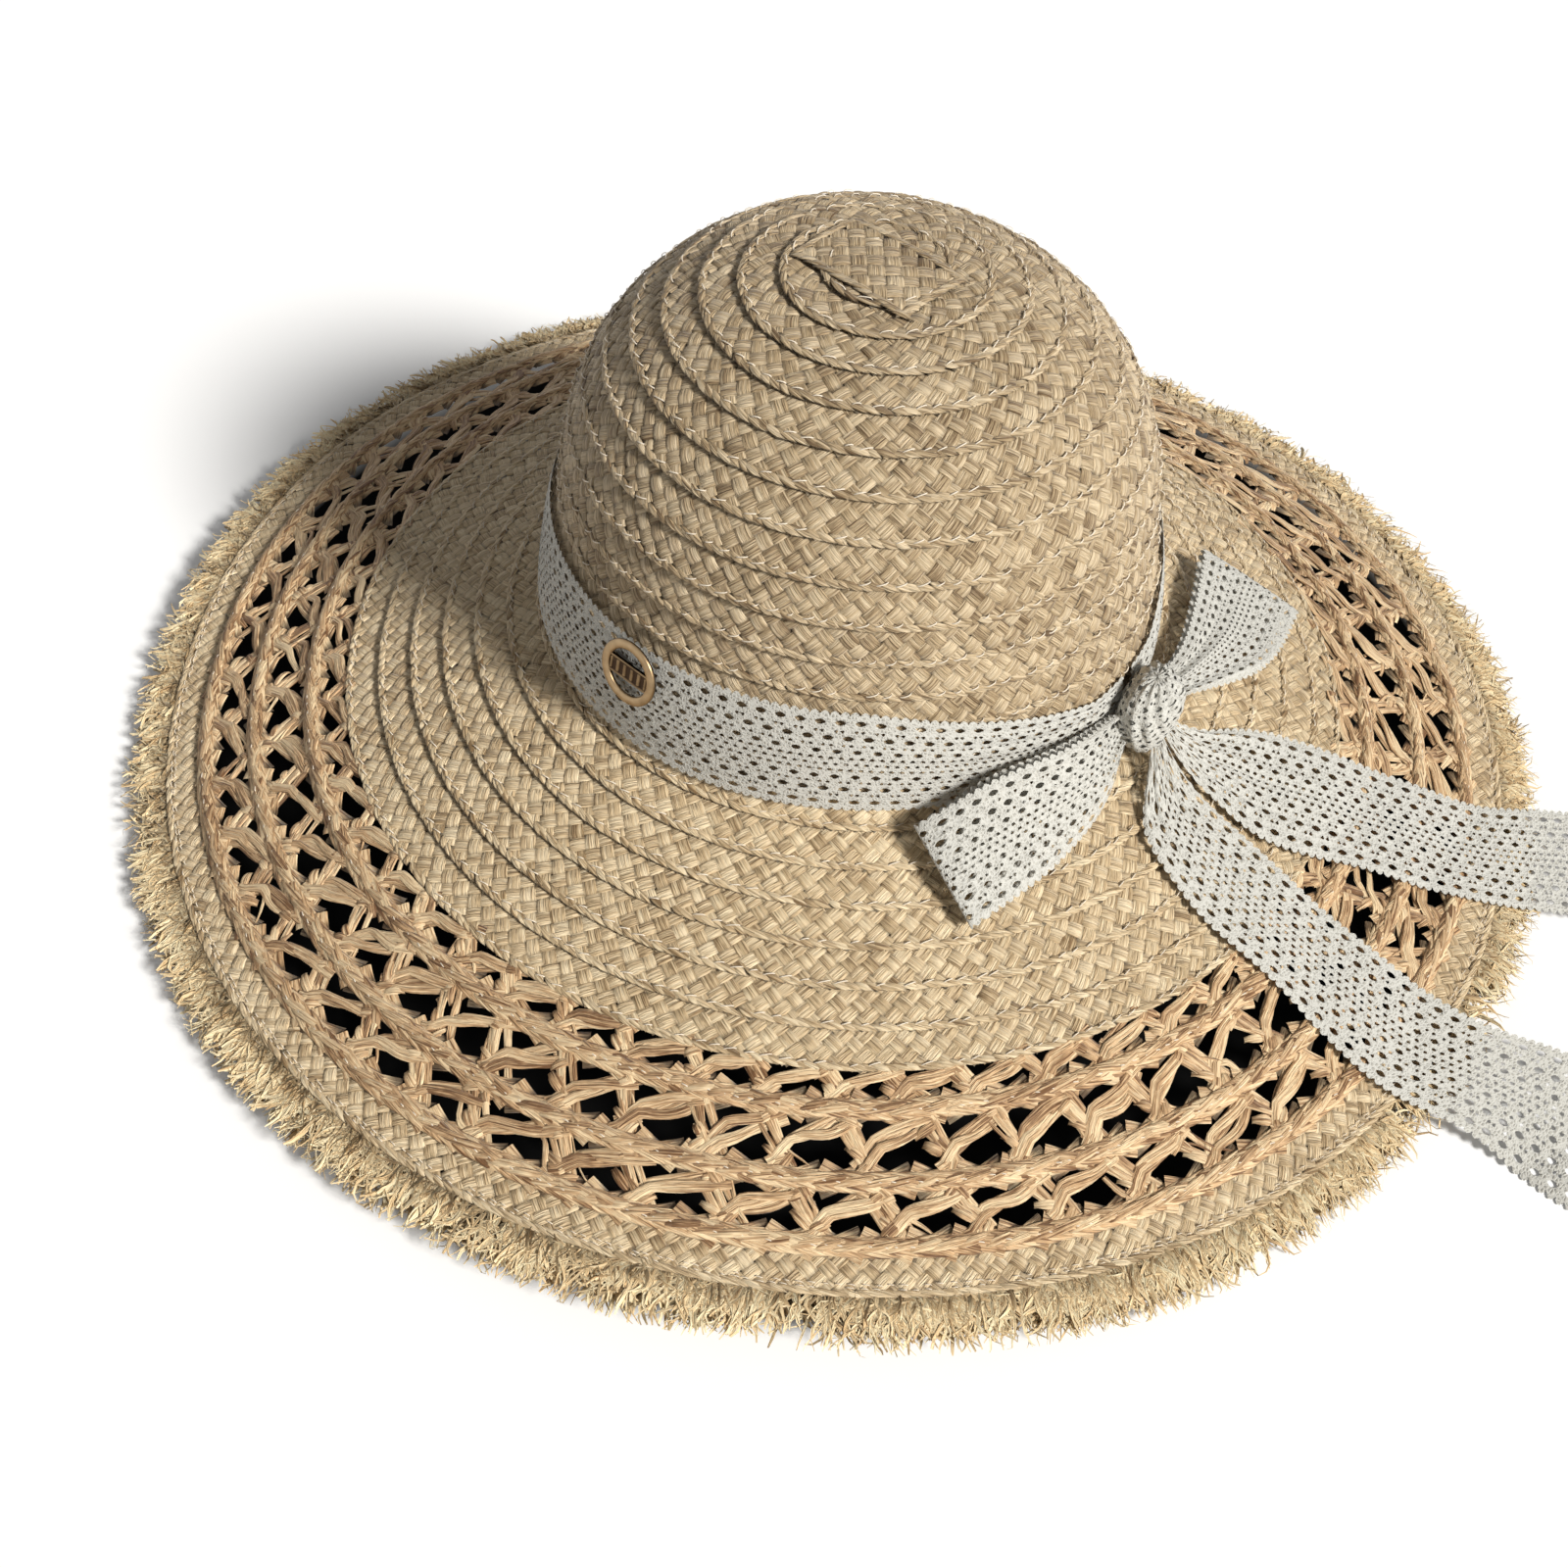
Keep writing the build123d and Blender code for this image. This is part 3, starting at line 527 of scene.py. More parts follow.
before = solid_edge
for row, radius in enumerate(ROW_RADII):
    outer = float(arc_at(radius))
    cell = np.arange(PERIODS)[:, None] + some(0, 0.05) + ROW_SHIFT * row
    grids = []
    t = np.linspace(0, 1, 13)[None]
    # steep arms, two or three strands together, from edge to edge
    for offset, first, last in ((-0.12, 0.0, 1.0), (0.0, 0.0, 1.0), (-0.21, 0.1, 0.9)):
        lean = some(0.46, 0.06)
        phase = cell + offset + some(0, 0.02) + lean * t
        half = some(1.3, 0.25) * (1 - 0.2 * np.sin(math.pi * t))
        sunk = 0.9 * np.maximum(np.abs(2 * t - 1) - 0.85, 0) / 0.15
        lift = 0.25 + 0.5 * np.cos(math.pi * (t * 1.5 + offset * 4)) - sunk
        grids.append(open_strands(before, outer, phase, first + (last - first) * t, half, lift))
    # long strands from the foot of each arm up to the head of the next, that wind together
    for turn in (0.0, 2.1, 4.2):
        wind = math.pi * 1.1 * t + turn + some(0, 0.5)
        level = 0.74 + 0.16 * np.cos(math.pi * np.clip(3.5 * t, 0, 1)) - 0.56 * t ** 1.25
        rise = some(0.0, 0.06) + level + 0.085 * np.sin(wind) + some(0.0, 0.03) * np.sin(7 * t)
        phase = cell + some(0.05, 0.03) + t * some(1.08, 0.04)
        half = some(1.5, 0.25) * (0.75 + 0.35 * np.abs(np.cos(wind)))
        grids.append(open_strands(before, outer, phase, rise, half, 0.45 + 0.6 * np.cos(wind)))
    # short strands wrapped round the foot and the head of each arm
    t = np.linspace(0, 1, 9)[None]
    for at, height, reach, climb in ((0.13, 0.80, 0.24, -0.30), (0.24, 0.86, 0.20, -0.34),
                                     (0.05, 0.62, 0.26, 0.22), (-0.06, 0.20, 0.28, -0.2),
                                     (0.02, 0.10, 0.22, 0.24)):
        phase = cell + at + some(0, 0.035) + some(reach, 0.05) * (t - 0.5)
        share = height + some(climb, 0.08) * (t - 0.5) + some(0, 0.04)
        half = some(1.3, 0.2) * np.sin(math.pi * np.clip(t, 0.1, 0.9)) ** 0.4
        grids.append(open_strands(before, outer, phase, share, half,
                                  1.75 * np.sin(math.pi * t) ** 0.6 - 0.65))
    # second arms that lean the other way, and a few thin loose strands
    for width, lean, first, last, kept in ((1.0, -0.35, 1.0, 0.4, 0.7),
                                           (0.5, 0.6, 0.0, 1.0, 0.5),
                                           (0.4, -0.7, 1.0, 0.1, 0.35)):
        there = rng.random(PERIODS) < kept
        phase = cell + some(0.2, 0.1) + some(lean, 0.12) * (t - 0.5)
        share = first + (last - first) * t + 0.1 * np.sin(5 * t + some(0, 1.5))
        half = some(width, 0.1) * np.sin(math.pi * np.clip(t, 0.15, 0.85)) ** 0.5
        grids.append(open_strands(before, outer, phase[there], share[there], half[there],
                                  0.9 * np.sin(math.pi * t) - 0.3))
    # the cord along the outer edge: long strands twisted together, and a few lying loose on it
    cord_radius = radius - 2
    length = math.tau * cord_radius
    strip = around_row(outer - CORD, outer, tilt=False)

    def cord(azimuth, across, lift, strip=strip):
        bow = 1 - np.clip(2 * across / CORD - 1, -1, 1) ** 2
        return strip(azimuth, across, 0.1 + bow + lift)

    place = round_brim(cord_radius, cord)
    grids += plait(place, 0, length - 0.1, CORD, 2, 0.45, lean=2.1, fill=0.9)
    for low, high, step, reach, proud_by in ((3.5, CORD + 0.3, 3.7, 13.0, 0.85),
                                             (2.7, 0.6, 4.1, 12.5, 0.75),
                                             (1.2, 4.6, 5.6, 15.0, 1.2),
                                             (4.9, 1.7, 6.3, 16.0, 1.4)):
        grids += twist(place, 0, length - 0.1, low, high, step, reach, proud_by)
    name = f"openwork_row_{row + 1}"
    piece(f"{name}_strands", grids, OPEN_STRAW, [name])

    def before(azimuth, s=outer):
        return s + 0 * azimuth

# ---- Edge braid ---------------------------------------------------------------------------------
# One more flat plait of raffia, which finishes the brim. It is tucked under the last cord and
# sewn to the fringe, and its outer edge is a narrow twist.
EDGE_IN = float(arc_at(ROW_RADII[2])) - 2.0
EDGE_OUT = float(arc_at(213.1))
EDGE_WIDTH = EDGE_OUT - EDGE_IN
EDGE_MIDDLE = 208.0
edge_place = round_brim(EDGE_MIDDLE, around_row(EDGE_IN, EDGE_OUT))
edge_length = math.tau * EDGE_MIDDLE
grids = plait(edge_place, 0, edge_length, EDGE_WIDTH - 1.2, 4, 0.45)
grids += twist(edge_place, 0, edge_length, EDGE_WIDTH - 1.8, EDGE_WIDTH + 0.1, 3.1, 7.6)
piece("edge_braid_strands", grids, BRIM_STRAW, ["edge_braid"])

# ---- Fringe -------------------------------------------------------------------------------------
# The cut ends of the plaited strands, split and frayed into thin fibres that stand out all round.
# They come out from under the edge braid in loose bunches. They are paler towards their tips,
# and painted shade darkens them towards their roots.
BUNCH = 20


def fibres(count, length, width, spread, curl, steps):
    """Tapered curling fibres from the edge braid outwards."""
    bunch = rng.uniform(0, 360, count // BUNCH)
    bunch_of = rng.integers(0, len(bunch), count)
    centre = bunch[bunch_of] + rng.normal(0, 0.4, count)
    swept = rng.normal(0, 16, len(bunch))[bunch_of]
    t = np.linspace(0, 1, steps)[None]

    def each(low, high):
        return rng.uniform(low, high, (count, 1))

    long = length * each(0.62, 1.0)
    bend = np.radians(curl) * each(0.3, 1.5) * np.sin(each(2.0, 7.0) * t + each(0, 6.3))
    heading = np.radians(swept + rng.normal(0, spread, count))[:, None] + bend
    pitch = each(-0.25, 0.35) + 0.7 * np.sin(each(2.0, 6.0) * t + each(0, 6.3))
    step = long / (steps - 1)
    side = np.cumsum(np.sin(heading) * np.cos(pitch), 1) * step
    out = np.clip(np.cumsum(np.cos(heading) * np.cos(pitch), 1) * step, 0.3, 16.6)
    up = np.clip(np.cumsum(np.sin(pitch), 1) * step + each(-1.6, -0.6), -2.0, 0.3 + 0.14 * out)
    s = EDGE_OUT - 1.8 + out
    r = np.interp(s, ARC, ARC_R)
    azimuth = centre[:, None] + np.degrees(side / r)
    half = width / 2 * each(0.6, 1.3) * (1 - 0.7 * t**2)
    cross = np.array([-1.0, 0.0, 1.0]) * half[..., None]
    az = azimuth[..., None] + np.degrees(cross * np.cos(heading)[..., None] / r[..., None])
    ss = s[..., None] - cross * np.sin(heading)[..., None]
    roll = (each(-0.9, 0.9) + 0.5 * np.sin(5 * t))[..., None]
    lift = up[..., None] + cross * roll + np.array([0, 0.3, 0]) * half[..., None]
    tone = rng.normal(0.4, 0.3, (count, 1))[..., None] + 0.7 * t[..., None]
    uv = strand_map((t * long)[..., None], cross, (count, 1))
    # proud carries painted shade: darker at the roots under the edge braid and where a fibre dips
    proud = 0.12 + 0.6 * t[..., None] + 0.12 * np.clip(up, -1, 1)[..., None] + 0 * cross
    return on_hat(ss, az, lift), uv, tone, proud


for name, *sizes in (("fringe_split_strands", 3200, 14.0, 2.0, 20, 34, 8),
                     ("fringe_fibres", 8000, 18.0, 1.3, 24, 52, 7),
                     ("fringe_fine_fibres", 8000, 20.0, 0.8, 28, 66, 7)):
    piece(name, [fibres(*sizes)], FRINGE_STRAW, ["fringe"])

# ---- Sewing thread ------------------------------------------------------------------------------
# Pale cotton thread. Short slanted stitches hold each turn's edge down on the next, and two lines
# of running stitch hold the edge braid to the fringe.
thread, tree, shader = new_material("sewing thread")
plies = add(tree, "ShaderNodeTexWave", {"Vector": strand_place(tree), "Scale": 1.6,
                                        "Distortion": 0.3}, bands_direction="DIAGONAL").outputs[0]
tree.links.new(ramp(tree, plies, [(0, (0.62, 0.52, 0.40)), (1, (0.90, 0.83, 0.70))]),
               shader.inputs["Base Color"])
shader.inputs["Roughness"].default_value = 0.6


def stitches(place, start, end, across, spacing, length, slant, thick, skip, lift=0.0):
    """Short raised stitches, each a thin bent tube half sunk in the straw."""
    index = np.arange(math.ceil(start / spacing), math.ceil(end / spacing))[:, None]
    index = index[rng.random(len(index)) >= skip]
    t = np.linspace(0, 1, 7)[None]
    reach = length * (1 + 0.15 * rng.standard_normal(index.shape))
    along = (index + 0.1 * rng.standard_normal(index.shape)) * spacing + reach * (t - 0.5)
    v = across + slant * reach * (t - 0.5) + 0.12 * rng.standard_normal(index.shape)
    turn = np.linspace(-0.2, math.pi + 0.2, 6)
    up = lift + 0.62 + 0.38 * np.sin(math.pi * t) ** 0.7 - 0.5 * (1 - np.sin(math.pi * t)) ** 3
    xyz = place(along[..., None], v[..., None] + thick * np.cos(turn),
                up[..., None] + thick * np.sin(turn))
    return xyz, joined(along[..., None], turn * 0.3), 0.5, 1.0


grids = []
for turn in range(TURNS):
    start, end = np.interp([turn, turn + 1], COIL, COIL_LENGTH)
    grids.append(stitches(on_coil, start, end, 11.5, 4.6, 2.9, -0.32, 0.17, 0.25, 0.12))
for radius in ROW_RADII:
    outer = float(arc_at(radius))
    inset = 1.6
    place = round_brim(radius - inset, around_row(outer - inset, outer, tilt=False))
    grids.append(stitches(place, 0, math.tau * (radius - inset), -0.6, 3.7, 2.3, 0.2, 0.17, 0.15,
                          1.15))
piece("sewing_thread_stitches", grids, thread, ["sewing_thread"])
grids = [stitches(edge_place, 0, edge_length, EDGE_WIDTH - inset, 3.3, 2.0, 0.12, 0.12, 0.2)
         for inset in (2.0, 3.1)]
piece("edge_seam_stitches", grids, thread, ["edge_seam_thread"])

# ---- Sweatband ----------------------------------------------------------------------------------
# A ribbed woven tape sewn inside the head opening, its edges turned over. It sits against the
# head and covers the inside of the bend between crown and brim.
TAPE_RADIUS = 88.2
tape, tree, shader = new_material("sweatband tape")
uv = strand_place(tree)
ribs = add(tree, "ShaderNodeTexWave", {"Vector": uv, "Scale": 0.42, "Distortion": 0.15},
           bands_direction="X").outputs[0]
weave = maths(tree, "MULTIPLY_ADD", noise(tree, uv, 2.0, 3.0), 0.4,
              maths(tree, "MULTIPLY", ribs, 0.6))
tree.links.new(ramp(tree, weave, [(0.1, (0.50, 0.44, 0.34)), (0.8, (0.72, 0.66, 0.54))]),
               shader.inputs["Base Color"])
bumped(tree, shader, ribs, 0.5, 0.0003)
shader.inputs["Roughness"].default_value = 0.75
azimuth = np.linspace(0, 360, 289)[None, :, None]
loop_z = np.array([-0.95, -0.7, -0.1, 8, 16, 16.7, 16.95, 16.7, 16, 8, -0.1, -0.7, -0.95])
loop_r = TAPE_RADIUS + np.array([0.35, 0.1, 0.0, 0.02, 0.0, 0.1, 0.35, 0.6, 0.68, 0.68, 0.68,
                                 0.6, 0.35])
around = np.radians(azimuth)
xyz = joined(loop_r * np.cos(around), loop_r * np.sin(around), loop_z) * 0.001
uv = joined(around * 88, loop_z)
piece("sweatband_tape", [(xyz, uv, 0.5, 1.0)], tape, ["sweatband"])

# ---- Lace ribbon --------------------------------------------------------------------------------
# White cotton lace, thirty-eight millimetres wide: a fine net ground with rows of small round
# eyelets and larger oval ones, and scalloped edges. It rings the crown and ends in a knotted bow.
LACE = 38.0
REPEAT = 5.6  # length after which the pattern starts again
GRID = 0.43  # step of the mesh
EYELETS = [  # along the repeat, off the middle, half sizes
    (along, side * off, half_u, half_v)
    for off, half_u, half_v, along in ((2.2, 0.75, 0.55, 1.4), (2.2, 0.75, 0.55, 4.2),
                                       (4.7, 1.35, 0.85, 0.0), (6.9, 0.65, 0.5, 1.8),
                                       (6.9, 0.65, 0.5, 3.9), (9.5, 1.55, 1.0, 2.8),
                                       (11.9, 0.65, 0.5, 4.9), (11.9, 0.65, 0.5, 1.0),
                                       (14.8, 1.6, 0.95, 0.3))
    for side in (1, -1)
]
EYELETS += [(0.0, 0.0, 0.65, 0.5), (2.8, 0.0, 0.65, 0.5)]


def scallop(along):
    """Half width of the ribbon's wavy edge, two scallops to a repeat."""
    return 17.4 + 1.2 * np.abs(np.sin(2 * math.pi * along / REPEAT)) ** 0.8


def lace_cut(repeats):
    """Flat lace: a grid's along and across fitted round the eyelets, its cells that are cloth,
    and its relief."""
    rows, cols = round(REPEAT / GRID) * repeats + 1, round(LACE / GRID) + 1
    along = np.linspace(0, REPEAT * repeats, rows)[:, None] + np.zeros((1, cols))
    across = np.linspace(-LACE / 2, LACE / 2, cols)[None] + np.zeros((rows, 1))
    relief = np.zeros((rows, cols))

    def nearest(u, v):
        best, shift = np.full(u.shape, 9.0), np.zeros(u.shape + (2,))
        for a, b, half_u, half_v in EYELETS:
            du = (u - a + REPEAT / 2) % REPEAT - REPEAT / 2
            dv = v - b
            value = (np.abs(du / half_u) ** 1.4 + np.abs(dv / half_v) ** 1.4) ** (1 / 1.4)
            near = value < best
            best = np.where(near, value, best)
            shift = np.where(near[..., None], np.stack([du, dv], -1), shift)
        return best, shift

    cell_u = (along[:-1, :-1] + along[1:, 1:]) / 2
    cell_v = (across[:-1, :-1] + across[1:, 1:]) / 2
    upper = np.where(cell_v > 0, scallop(cell_u), scallop(cell_u + REPEAT / 2))
    cloth = (nearest(cell_u, cell_v)[0] > 1.0) & (np.abs(cell_v) < upper)
    value, shift = nearest(along, across)
    relief += 0.22 * np.exp(-(((value - 1.35) / 0.3) ** 2))
    for ridge in (5.9, 11.0, 16.6):
        relief += 0.12 * np.exp(-(((np.abs(across) - ridge) / 0.45) ** 2))
    snap = (value > 0.55) & (value < 1.5)
    pull = np.where(snap, 1 / np.maximum(value, 0.3) - 1, 0)
    along, across = along + pull * shift[..., 0] * 0.9, across + pull * shift[..., 1] * 0.9
    edge = np.where(across > 0, scallop(along), scallop(along + REPEAT / 2))
    across = np.where(np.abs(across) > edge - 0.15, np.sign(across) * edge, across)
    return along, across, cloth, relief


def lace_piece(name, nodes, body, place, length):
    """A length of lace laid by place(along share, across from -1 to 1, lift)."""
    repeats = round(length / REPEAT)
    along, across, cloth, relief = lace_cut(repeats)
    xyz = place(along / (REPEAT * repeats), across / (LACE / 2), relief)
    uv = np.stack([along, across], -1)
    obj = piece(name, [(xyz[None], uv[None], 0.5, (relief / 0.3)[None])], LACE_CLOTH, nodes, body,
                keep=cloth)
    return obj


LACE_CLOTH, tree, shader = new_material("lace cotton")
uv = strand_place(tree)
loops = add(tree, "ShaderNodeTexVoronoi", {"Vector": uv, "Scale": 0.95, "Randomness": 0.7},
            feature="DISTANCE_TO_EDGE").outputs["Distance"]
net = add(tree, "ShaderNodeMapRange", {0: loops, 1: 0.05, 2: 0.33, 3: 1.0, 4: 0.0}).outputs[0]
fuzz = noise(tree, uv, 5.0, 3.0)
height = maths(tree, "MULTIPLY_ADD", fuzz, 0.5,
               maths(tree, "MULTIPLY_ADD", strand_value(tree, "proud"), 0.8, net))
shade = maths(tree, "MULTIPLY_ADD", fuzz, 0.3, maths(tree, "MULTIPLY", net, 0.7))
tree.links.new(ramp(tree, shade, [(0.08, (0.40, 0.385, 0.335)), (0.42, (0.495, 0.48, 0.43)),
                                  (0.85, (0.60, 0.59, 0.54))]), shader.inputs["Base Color"])
bumped(tree, shader, height, 0.7, 0.0003)
shader.inputs["Roughness"].default_value = 0.85
shader.inputs["Sheen Weight"].default_value = 0.2
KNOT_AZIMUTH = -31.5  # the bow's place round the crown
KNOT = np.array([87.2, -53.4, 10.6])  # the knot's middle


def side_arc(z):
    """Arc length at a height up the crown's side."""
    return np.interp(-z, -ARC_Z, ARC)


def on_band(t, v, lift):
    """The ribbon round the crown, gathered down towards the knot at both ends."""
    off = 1.5 + 357 * t
    near = np.minimum(off, 360 - off)
    gather = (1 - np.clip((near - 10) / np.where(off < 180, 30, 46), 0, 1)) ** 1.3
    top = 38 - 18 * gather
    low = 3.0 + 0.6 * np.sin(np.radians(5 * off))
    pleat = 0.8 * gather * np.sin(9 * v + 3) * np.clip(1.2 - np.abs(v), 0, 1)
    z = low + (top - low) * (v + 1) / 2
    return on_hat(side_arc(z), KNOT_AZIMUTH + off, 2.15 + lift + np.abs(pleat))


lace_piece("lace_band_ribbon", ["lace_band"], "hat", on_band, 582)


def through(points):
    """Points along a smooth curve through a few, as a function of the share of the way."""
    points = np.array(points, float)
    steps = np.linalg.norm(np.diff(points, axis=0), axis=1)
    at = np.concatenate([[0], np.cumsum(steps)]) / steps.sum()
    slope = np.gradient(points, at, axis=0)
    u = np.linspace(0, 1, 200)
    k = np.clip(np.searchsorted(at, u, "right") - 1, 0, len(at) - 2)
    h = (at[k + 1] - at[k])[:, None]
    v = ((u - at[k]) / h[:, 0])[:, None]
    line = ((2 * v**3 - 3 * v**2 + 1) * points[k] + (v**3 - 2 * v**2 + v) * h * slope[k]
            + (3 * v**2 - 2 * v**3) * points[k + 1] + (v**3 - v**2) * h * slope[k + 1])
    return lambda t: np.stack([np.interp(t, u, line[:, i]) for i in range(3)], -1)


OPENING = 4.0  # between the two layers of a loop


def bow_loop(name, node, body, upper, lower, length, folds):
    """A loop of ribbon that runs out from the knot, folds over and comes back underneath."""
    upper, lower = through(upper), through(lower)

    def place(t, v, lift):
        there = 1 - np.abs(2 * t - 1)
        back = t > 0.5
        turn = np.clip((there - 0.9) / 0.1, 0, 1)
        out_share = np.where(there > 0.9, 0.9 + 0.1 * np.sin(turn * math.pi / 2), there)
        a, b = upper(out_share), lower(out_share)
        further, nearer = np.minimum(out_share + 0.02, 1), np.maximum(out_share - 0.02, 0)
        ahead = (upper(further) + lower(further)) / 2
        behind = (upper(nearer) + lower(nearer)) / 2
        normal = np.cross(ahead - behind, a - b)
        normal *= (np.sign(normal[..., 2]) / np.linalg.norm(normal, axis=-1))[..., None]
        half = OPENING / 2 * np.sqrt(np.clip(there / 0.6, 0.15, 1)) * np.cos(turn * math.pi / 2)
        side = np.where(back, -1, 1)
        near = (1 - there) ** 1.6
        fold = near * sum(size * np.sin(rate * v + start) for size, rate, start in folds)
        sag = 0.9 * np.sin(2.2 * math.pi * there) * (1 - v**2)
        across = (v + 1) / 2
        middle = b + (a - b) * across[..., None]
        off = side * (half + lift + np.where(back, 0, sag)) + fold
        return (middle + normal * off[..., None]) * 0.001

    lace_piece(name, [node], body, place, length)


bow_loop("bow_loop_front_ribbon", "bow_loop_front", "front_loop",
         ((76.3, -59.0, 13.0), (60.5, -78.5, 19.5), (40.5, -91.0, 18.5), (20.0, -99.5, 6.0)),
         ((79.8, -64.5, 3.5), (76.0, -77.0, -1.5), (63.0, -97.5, -5.5), (38.0, -121.5, -11.0)),
         162, ((0.9, 9, 0.4), (0.6, 15, 2.0)))
bow_loop("bow_loop_back_ribbon", "bow_loop_back", "back_loop",
         ((90.2, -42.2, 12.0), (99.0, -22.0, 6.0), (105.5, 2.0, 1.5), (112.2, 33.0, -3.5)),
         ((95.5, -44.0, 5.0), (112.0, -29.0, -3.5), (129.0, -14.0, -9.5), (145.3, 19.6, -16.5)),
         162, ((0.9, 8, 1.4), (0.6, 13, 0.0)))

FLOOR_DEPTH = 62.5  # from the head opening down to the floor


def tail(name, node, left, right, length, folds):
    """A ribbon tail that runs from under the knot over the brim and out on the floor. Its root
    stays in the knot, and it bends just outside the knot."""
    left, right = (through([(x, y, 0) for x, y in edge]) for edge in (left, right))

    def place(t, v, lift):
        a, b = left(t), right(t)
        xy = a + (b - a) * ((v + 1) / 2)[..., None]
        near = np.clip(1 - t / 0.35, 0, 1) ** 1.3
        fold = near * sum(size * np.abs(np.sin(rate * v + start)) for size, rate, start in folds)
        ripple = 0.7 * np.sin(t * 19 + v) * np.sin(math.pi * np.clip(t * 1.3, 0, 1))
        root = np.clip(1 - t / 0.075, 0, 1) ** 1.4
        z = np.maximum(form_z(xy[..., 0], xy[..., 1]) + 2.9, 0.5 - FLOOR_DEPTH) + 11 * root
        xy[..., :2] += (KNOT[:2] - xy[..., :2]) * 0.45 * root[..., None]
        xy[..., 2] = z + lift + fold + np.abs(ripple)
        return xy * 0.001

    obj = lace_piece(name, [node], None, place, length)
    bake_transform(obj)


tail("tail_back_ribbon", "tail_back",
     ((97.9, -49.7), (106.0, -44.0), (128.5, -33.5), (165.6, -31.4), (200.0, -32.0),
      (237.0, -23.5), (291.0, -25.0)),
     ((93.9, -57.0), (107.8, -65.0), (122.4, -73.2), (154.0, -73.0), (193.0, -71.5),
      (228.0, -66.0), (286.0, -63.0)), 204, ((1.1, 7, 0.3), (0.7, 12, 1.0)))
tail("tail_front_ribbon", "tail_front",
     ((89.1, -65.3), (87.0, -82.0), (98.0, -97.0), (126.0, -116.0), (154.0, -137.0),
      (184.0, -147.0), (208.0, -166.0), (252.0, -184.0)),
     ((93.2, -58.0), (107.0, -66.3), (121.5, -75.0), (154.5, -95.5), (187.0, -111.5),
      (217.5, -117.0), (275.0, -148.0)), 216, ((1.1, 8, 1.3), (0.7, 13, 0.2)))

# ---- Knot ---------------------------------------------------------------------------------------
# The same ribbon pulled tight round itself: a small lump of close folds that fan out to the loops,
# with one more turn of the ribbon wrapped over them. It sits against the band, and holds the bow.
KNOT_HALVES = (8.8, 13.0, 13.6)


def on_knot(turn, climb, lift):
    """A lump of gathered folds against the band, by angles round its upright axis and up."""
    turn, climb, lift = np.broadcast_arrays(turn, climb, lift)
    pull = np.sin(3 * turn + 1) * np.sin(2.5 * climb)
    folds = (np.abs(np.sin(5.5 * turn + 2.2 * np.sin(2 * climb)))
             + 0.5 * np.sin(13 * turn + 1.3 + 3 * climb))
    size = 0.95 + (0.06 * folds + 0.06 * pull) * np.cos(climb) ** 0.5
    deep, wide, high = KNOT_HALVES
    size = size + lift / 10
    a = deep * np.cos(turn) * np.cos(climb) * size
    b = wide * np.sin(turn) * np.cos(climb) * size
    spin = math.radians(KNOT_AZIMUTH)
    x = a * math.cos(spin) - b * math.sin(spin)
    y = a * math.sin(spin) + b * math.cos(spin)
    return (np.stack([x, y, high * np.sin(climb) * size], -1) + KNOT) * 0.001


turn, climb = np.meshgrid(np.linspace(-math.pi, math.pi, 241), np.linspace(-1.55, 1.55, 121),
                          indexing="ij")
uv = np.stack([turn * 11, climb * 13], -1)
obj = piece("bow_knot_folds", [(on_knot(turn, climb, -0.6)[None], uv[None], 0.5, 0.1)],
            LACE_CLOTH, ["bow_knot"])
lace_piece("bow_knot_wrap", [], "hat",
           lambda t, v, lift: on_knot(math.tau * t, 1.3 * v, 0.4 * lift), 70)

# ---- Badge --------------------------------------------------------------------------------------
# A small cast brass ring with a plain ribbed bar across it, antiqued dark in its hollows. It
# stands on the front of the ribbon, flat against the crown.
BADGE_AZIMUTH = -130.0
BADGE_HEIGHT = 28.5
RING_RADIUS, RING_HALF_WIDTH, RING_HALF_HEIGHT = 8.6, 1.4, 0.8
BAR_HALF_LENGTH, BAR_HALF_HEIGHT = 7.8, 2.8
brass, tree, shader = new_material("antique brass")
wear = noise(tree, add(tree, "ShaderNodeTexCoord").outputs["Object"], 300.0, 5.0)
polish = maths(tree, "MULTIPLY_ADD", wear, 0.5,
               maths(tree, "MULTIPLY", strand_value(tree, "proud"), 0.6))
tree.links.new(ramp(tree, polish, [(0.3, (0.05, 0.03, 0.018)), (0.62, (0.27, 0.185, 0.10)),
                                   (0.85, (0.43, 0.31, 0.18))]), shader.inputs["Base Color"])
shader.inputs["Metallic"].default_value = 1.0
tree.links.new(maths(tree, "MULTIPLY_ADD", wear, 0.3, 0.25), shader.inputs["Roughness"])
badge_spot = np.asarray(frame["nodes"]["badge"].matrix_world) @ np.append(
    np.mean([v.co[:] for v in frame["nodes"]["badge"].data.vertices], 0), 1)
badge_arc = float(side_arc(BADGE_HEIGHT))
spin = math.radians(BADGE_AZIMUTH)
sideways = np.array([-math.sin(spin), math.cos(spin), 0])
outward = on_hat(badge_arc, BADGE_AZIMUTH, 1.0) - on_hat(badge_arc, BADGE_AZIMUTH, 0.0)
outward /= np.linalg.norm(outward)
upward = np.cross(outward, sideways)


def on_badge(x, y, z):
    """A point by mm sideways, up and outwards from the badge's middle."""
    x, y, z = (a[..., None] * 0.001 for a in np.broadcast_arrays(x, y, z))
    return badge_spot[:3] + x * sideways + y * upward + z * outward


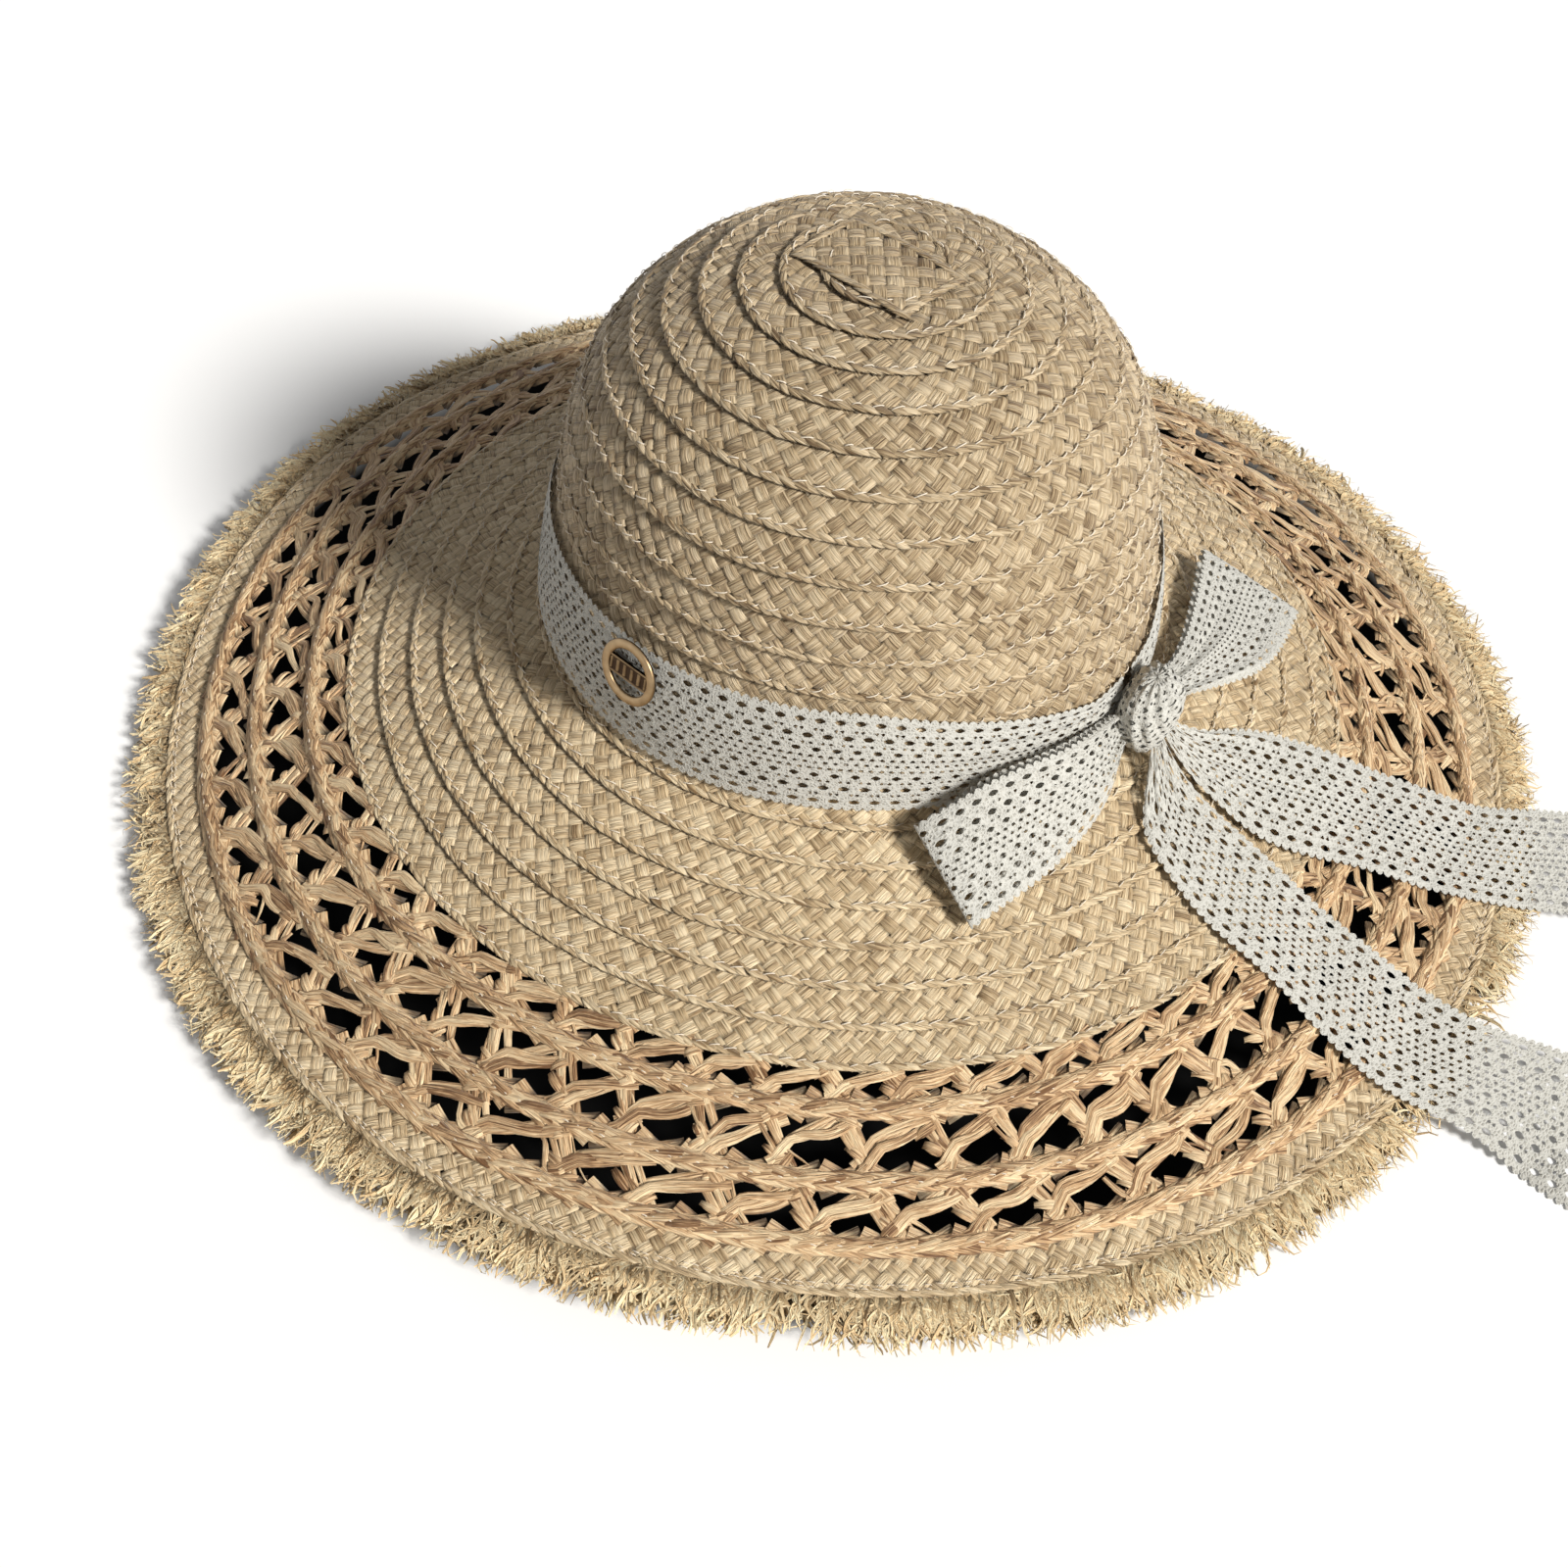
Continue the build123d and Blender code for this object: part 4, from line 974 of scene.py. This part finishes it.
turn = np.linspace(0, math.tau, 97)[:, None]
round_it = np.linspace(0, math.tau, 17)[None]
c, s = np.cos(round_it), np.sin(round_it)
radius = RING_RADIUS + RING_HALF_WIDTH * np.sign(c) * np.abs(c) ** 0.7
height = RING_HALF_HEIGHT * np.sign(s) * np.abs(s) ** 0.6
grids = [(on_badge(radius * np.cos(turn), radius * np.sin(turn), height)[None], np.zeros(2), 0.5,
          (0.45 + 0.45 * s + 0 * turn)[None])]
x, y = np.meshgrid(np.linspace(-BAR_HALF_LENGTH, BAR_HALF_LENGTH, 83),
                   np.linspace(-BAR_HALF_HEIGHT, BAR_HALF_HEIGHT, 29), indexing="ij")
ribs = (np.abs(np.abs(x % 2.7 - 1.35)) < 0.5) & (np.abs(y) < 1.8) & (np.abs(x) < 6.7)
rim = np.abs(y) > 2.35
face = np.where(ribs | rim, 0.5, 0.05) - 1.2 * np.clip(np.abs(y) - 2.6, 0, 1)
grids.append((on_badge(x, y, face)[None], np.zeros(2), 0.5, np.where(ribs | rim, 0.5, 0.0)[None]))
grids.append((on_badge(x, y[:, ::-1], -0.5 + 0 * x)[None], np.zeros(2), 0.5, 0.1))
piece("badge_casting", grids, brass, ["badge"])

# ---- Floor, light and camera --------------------------------------------------------------------
# A pale painted floor with a painted shadow where the brim covers it, under a pale sky with one
# warm lamp at the right. The camera looks down on the front of the hat.
PAINTED_SHADOW_RADIUS = (0.219, 0.2255)  # metres: where the painted shadow under the brim starts to fade, and where it ends
FLOOR_SIZE = 6.0
floor_mesh = bpy.data.meshes.new("floor")
floor_mesh.from_pydata([(x * FLOOR_SIZE, y * FLOOR_SIZE, -FLOOR_DEPTH / 1000)
                        for x, y in ((-1, -1), (1, -1), (1, 1), (-1, 1))], [], [(0, 1, 2, 3)])
floor = bpy.data.objects.new("floor", floor_mesh)
bpy.context.scene.collection.objects.link(floor)


def seen_directly(tree):
    """One where the camera sees a surface itself or in a gloss, none for light that bounces."""
    path = add(tree, "ShaderNodeLightPath").outputs
    glossy = maths(tree, "MAXIMUM", path["Is Glossy Ray"], path["Is Transmission Ray"])
    return maths(tree, "MAXIMUM", path["Is Camera Ray"], glossy)


floor_paint_and_shadow, tree, shader = new_material("pale floor")
spot = add(tree, "ShaderNodeTexCoord").outputs["Object"]
out = add(tree, "ShaderNodeVectorMath", {0: spot}, operation="LENGTH").outputs["Value"]
# painted shadow: the floor's colour goes nearly black under the brim
under = add(tree, "ShaderNodeMapRange", {0: out, 1: PAINTED_SHADOW_RADIUS[0], 2: PAINTED_SHADOW_RADIUS[1], 3: 0.006,
                                         4: 1.0}).outputs[0]
seen = seen_directly(tree)
floor_colour_with_shadow = maths(tree, "MULTIPLY", maths(tree, "MULTIPLY_ADD", seen, 0.2, 0.78), under)
tree.links.new(floor_colour_with_shadow, shader.inputs["Base Color"])
shader.inputs["Roughness"].default_value = 0.9
shader.inputs["Specular IOR Level"].default_value = 0.05
shader.inputs["Emission Color"].default_value = (1, 1, 1, 1)
tree.links.new(maths(tree, "MULTIPLY", maths(tree, "MULTIPLY", seen, 0.08), under),
               shader.inputs["Emission Strength"])
floor_mesh.materials.append(floor_paint_and_shadow)
floor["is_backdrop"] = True

world = bpy.data.worlds.new("studio")
bpy.context.scene.world = world
world.use_nodes = True
tree = world.node_tree
sky = tree.nodes["Background"].inputs
sky["Color"].default_value = (1.0, 1.0, 1.0, 1)
tree.links.new(maths(tree, "MULTIPLY_ADD", seen_directly(tree), 0.84, 0.16), sky["Strength"])

SOURCE = (0.62, -0.5, 0.6)  # the direction that the lamp shines from
lamp = bpy.data.lights.new("key", "SUN")
lamp.angle, lamp.energy, lamp.color = math.radians(12), 4.4, (1.0, 0.98, 0.945)
key = bpy.data.objects.new("key", lamp)
bpy.context.scene.collection.objects.link(key)
back = np.array(SOURCE, float) / np.linalg.norm(SOURCE)
side = np.cross((0, 0, 1.0), back)
side /= np.linalg.norm(side)
key.rotation_euler = Matrix(np.stack([side, np.cross(back, side), back], 1).tolist()).to_euler()

camera_data = bpy.data.cameras.new("camera")
camera_data.sensor_fit = "HORIZONTAL"
camera_data.angle = math.radians(42.62)
camera = bpy.data.objects.new("camera", camera_data)
bpy.context.scene.collection.objects.link(camera)
RIGHT, UP = (0.997782, 0.049818, 0.044144), (-0.066562, 0.746789, 0.661721)
AHEAD = (0.0, 0.663192, -0.748449)
turned = Matrix([[x, y, -z] for x, y, z in zip(RIGHT, UP, AHEAD)]).to_4x4()
camera.matrix_world = Matrix.Translation((-0.015716, -0.456322, 0.421785)) @ turned
bpy.context.scene.camera = camera
bpy.context.scene.view_settings.view_transform = "Standard"

low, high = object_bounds()
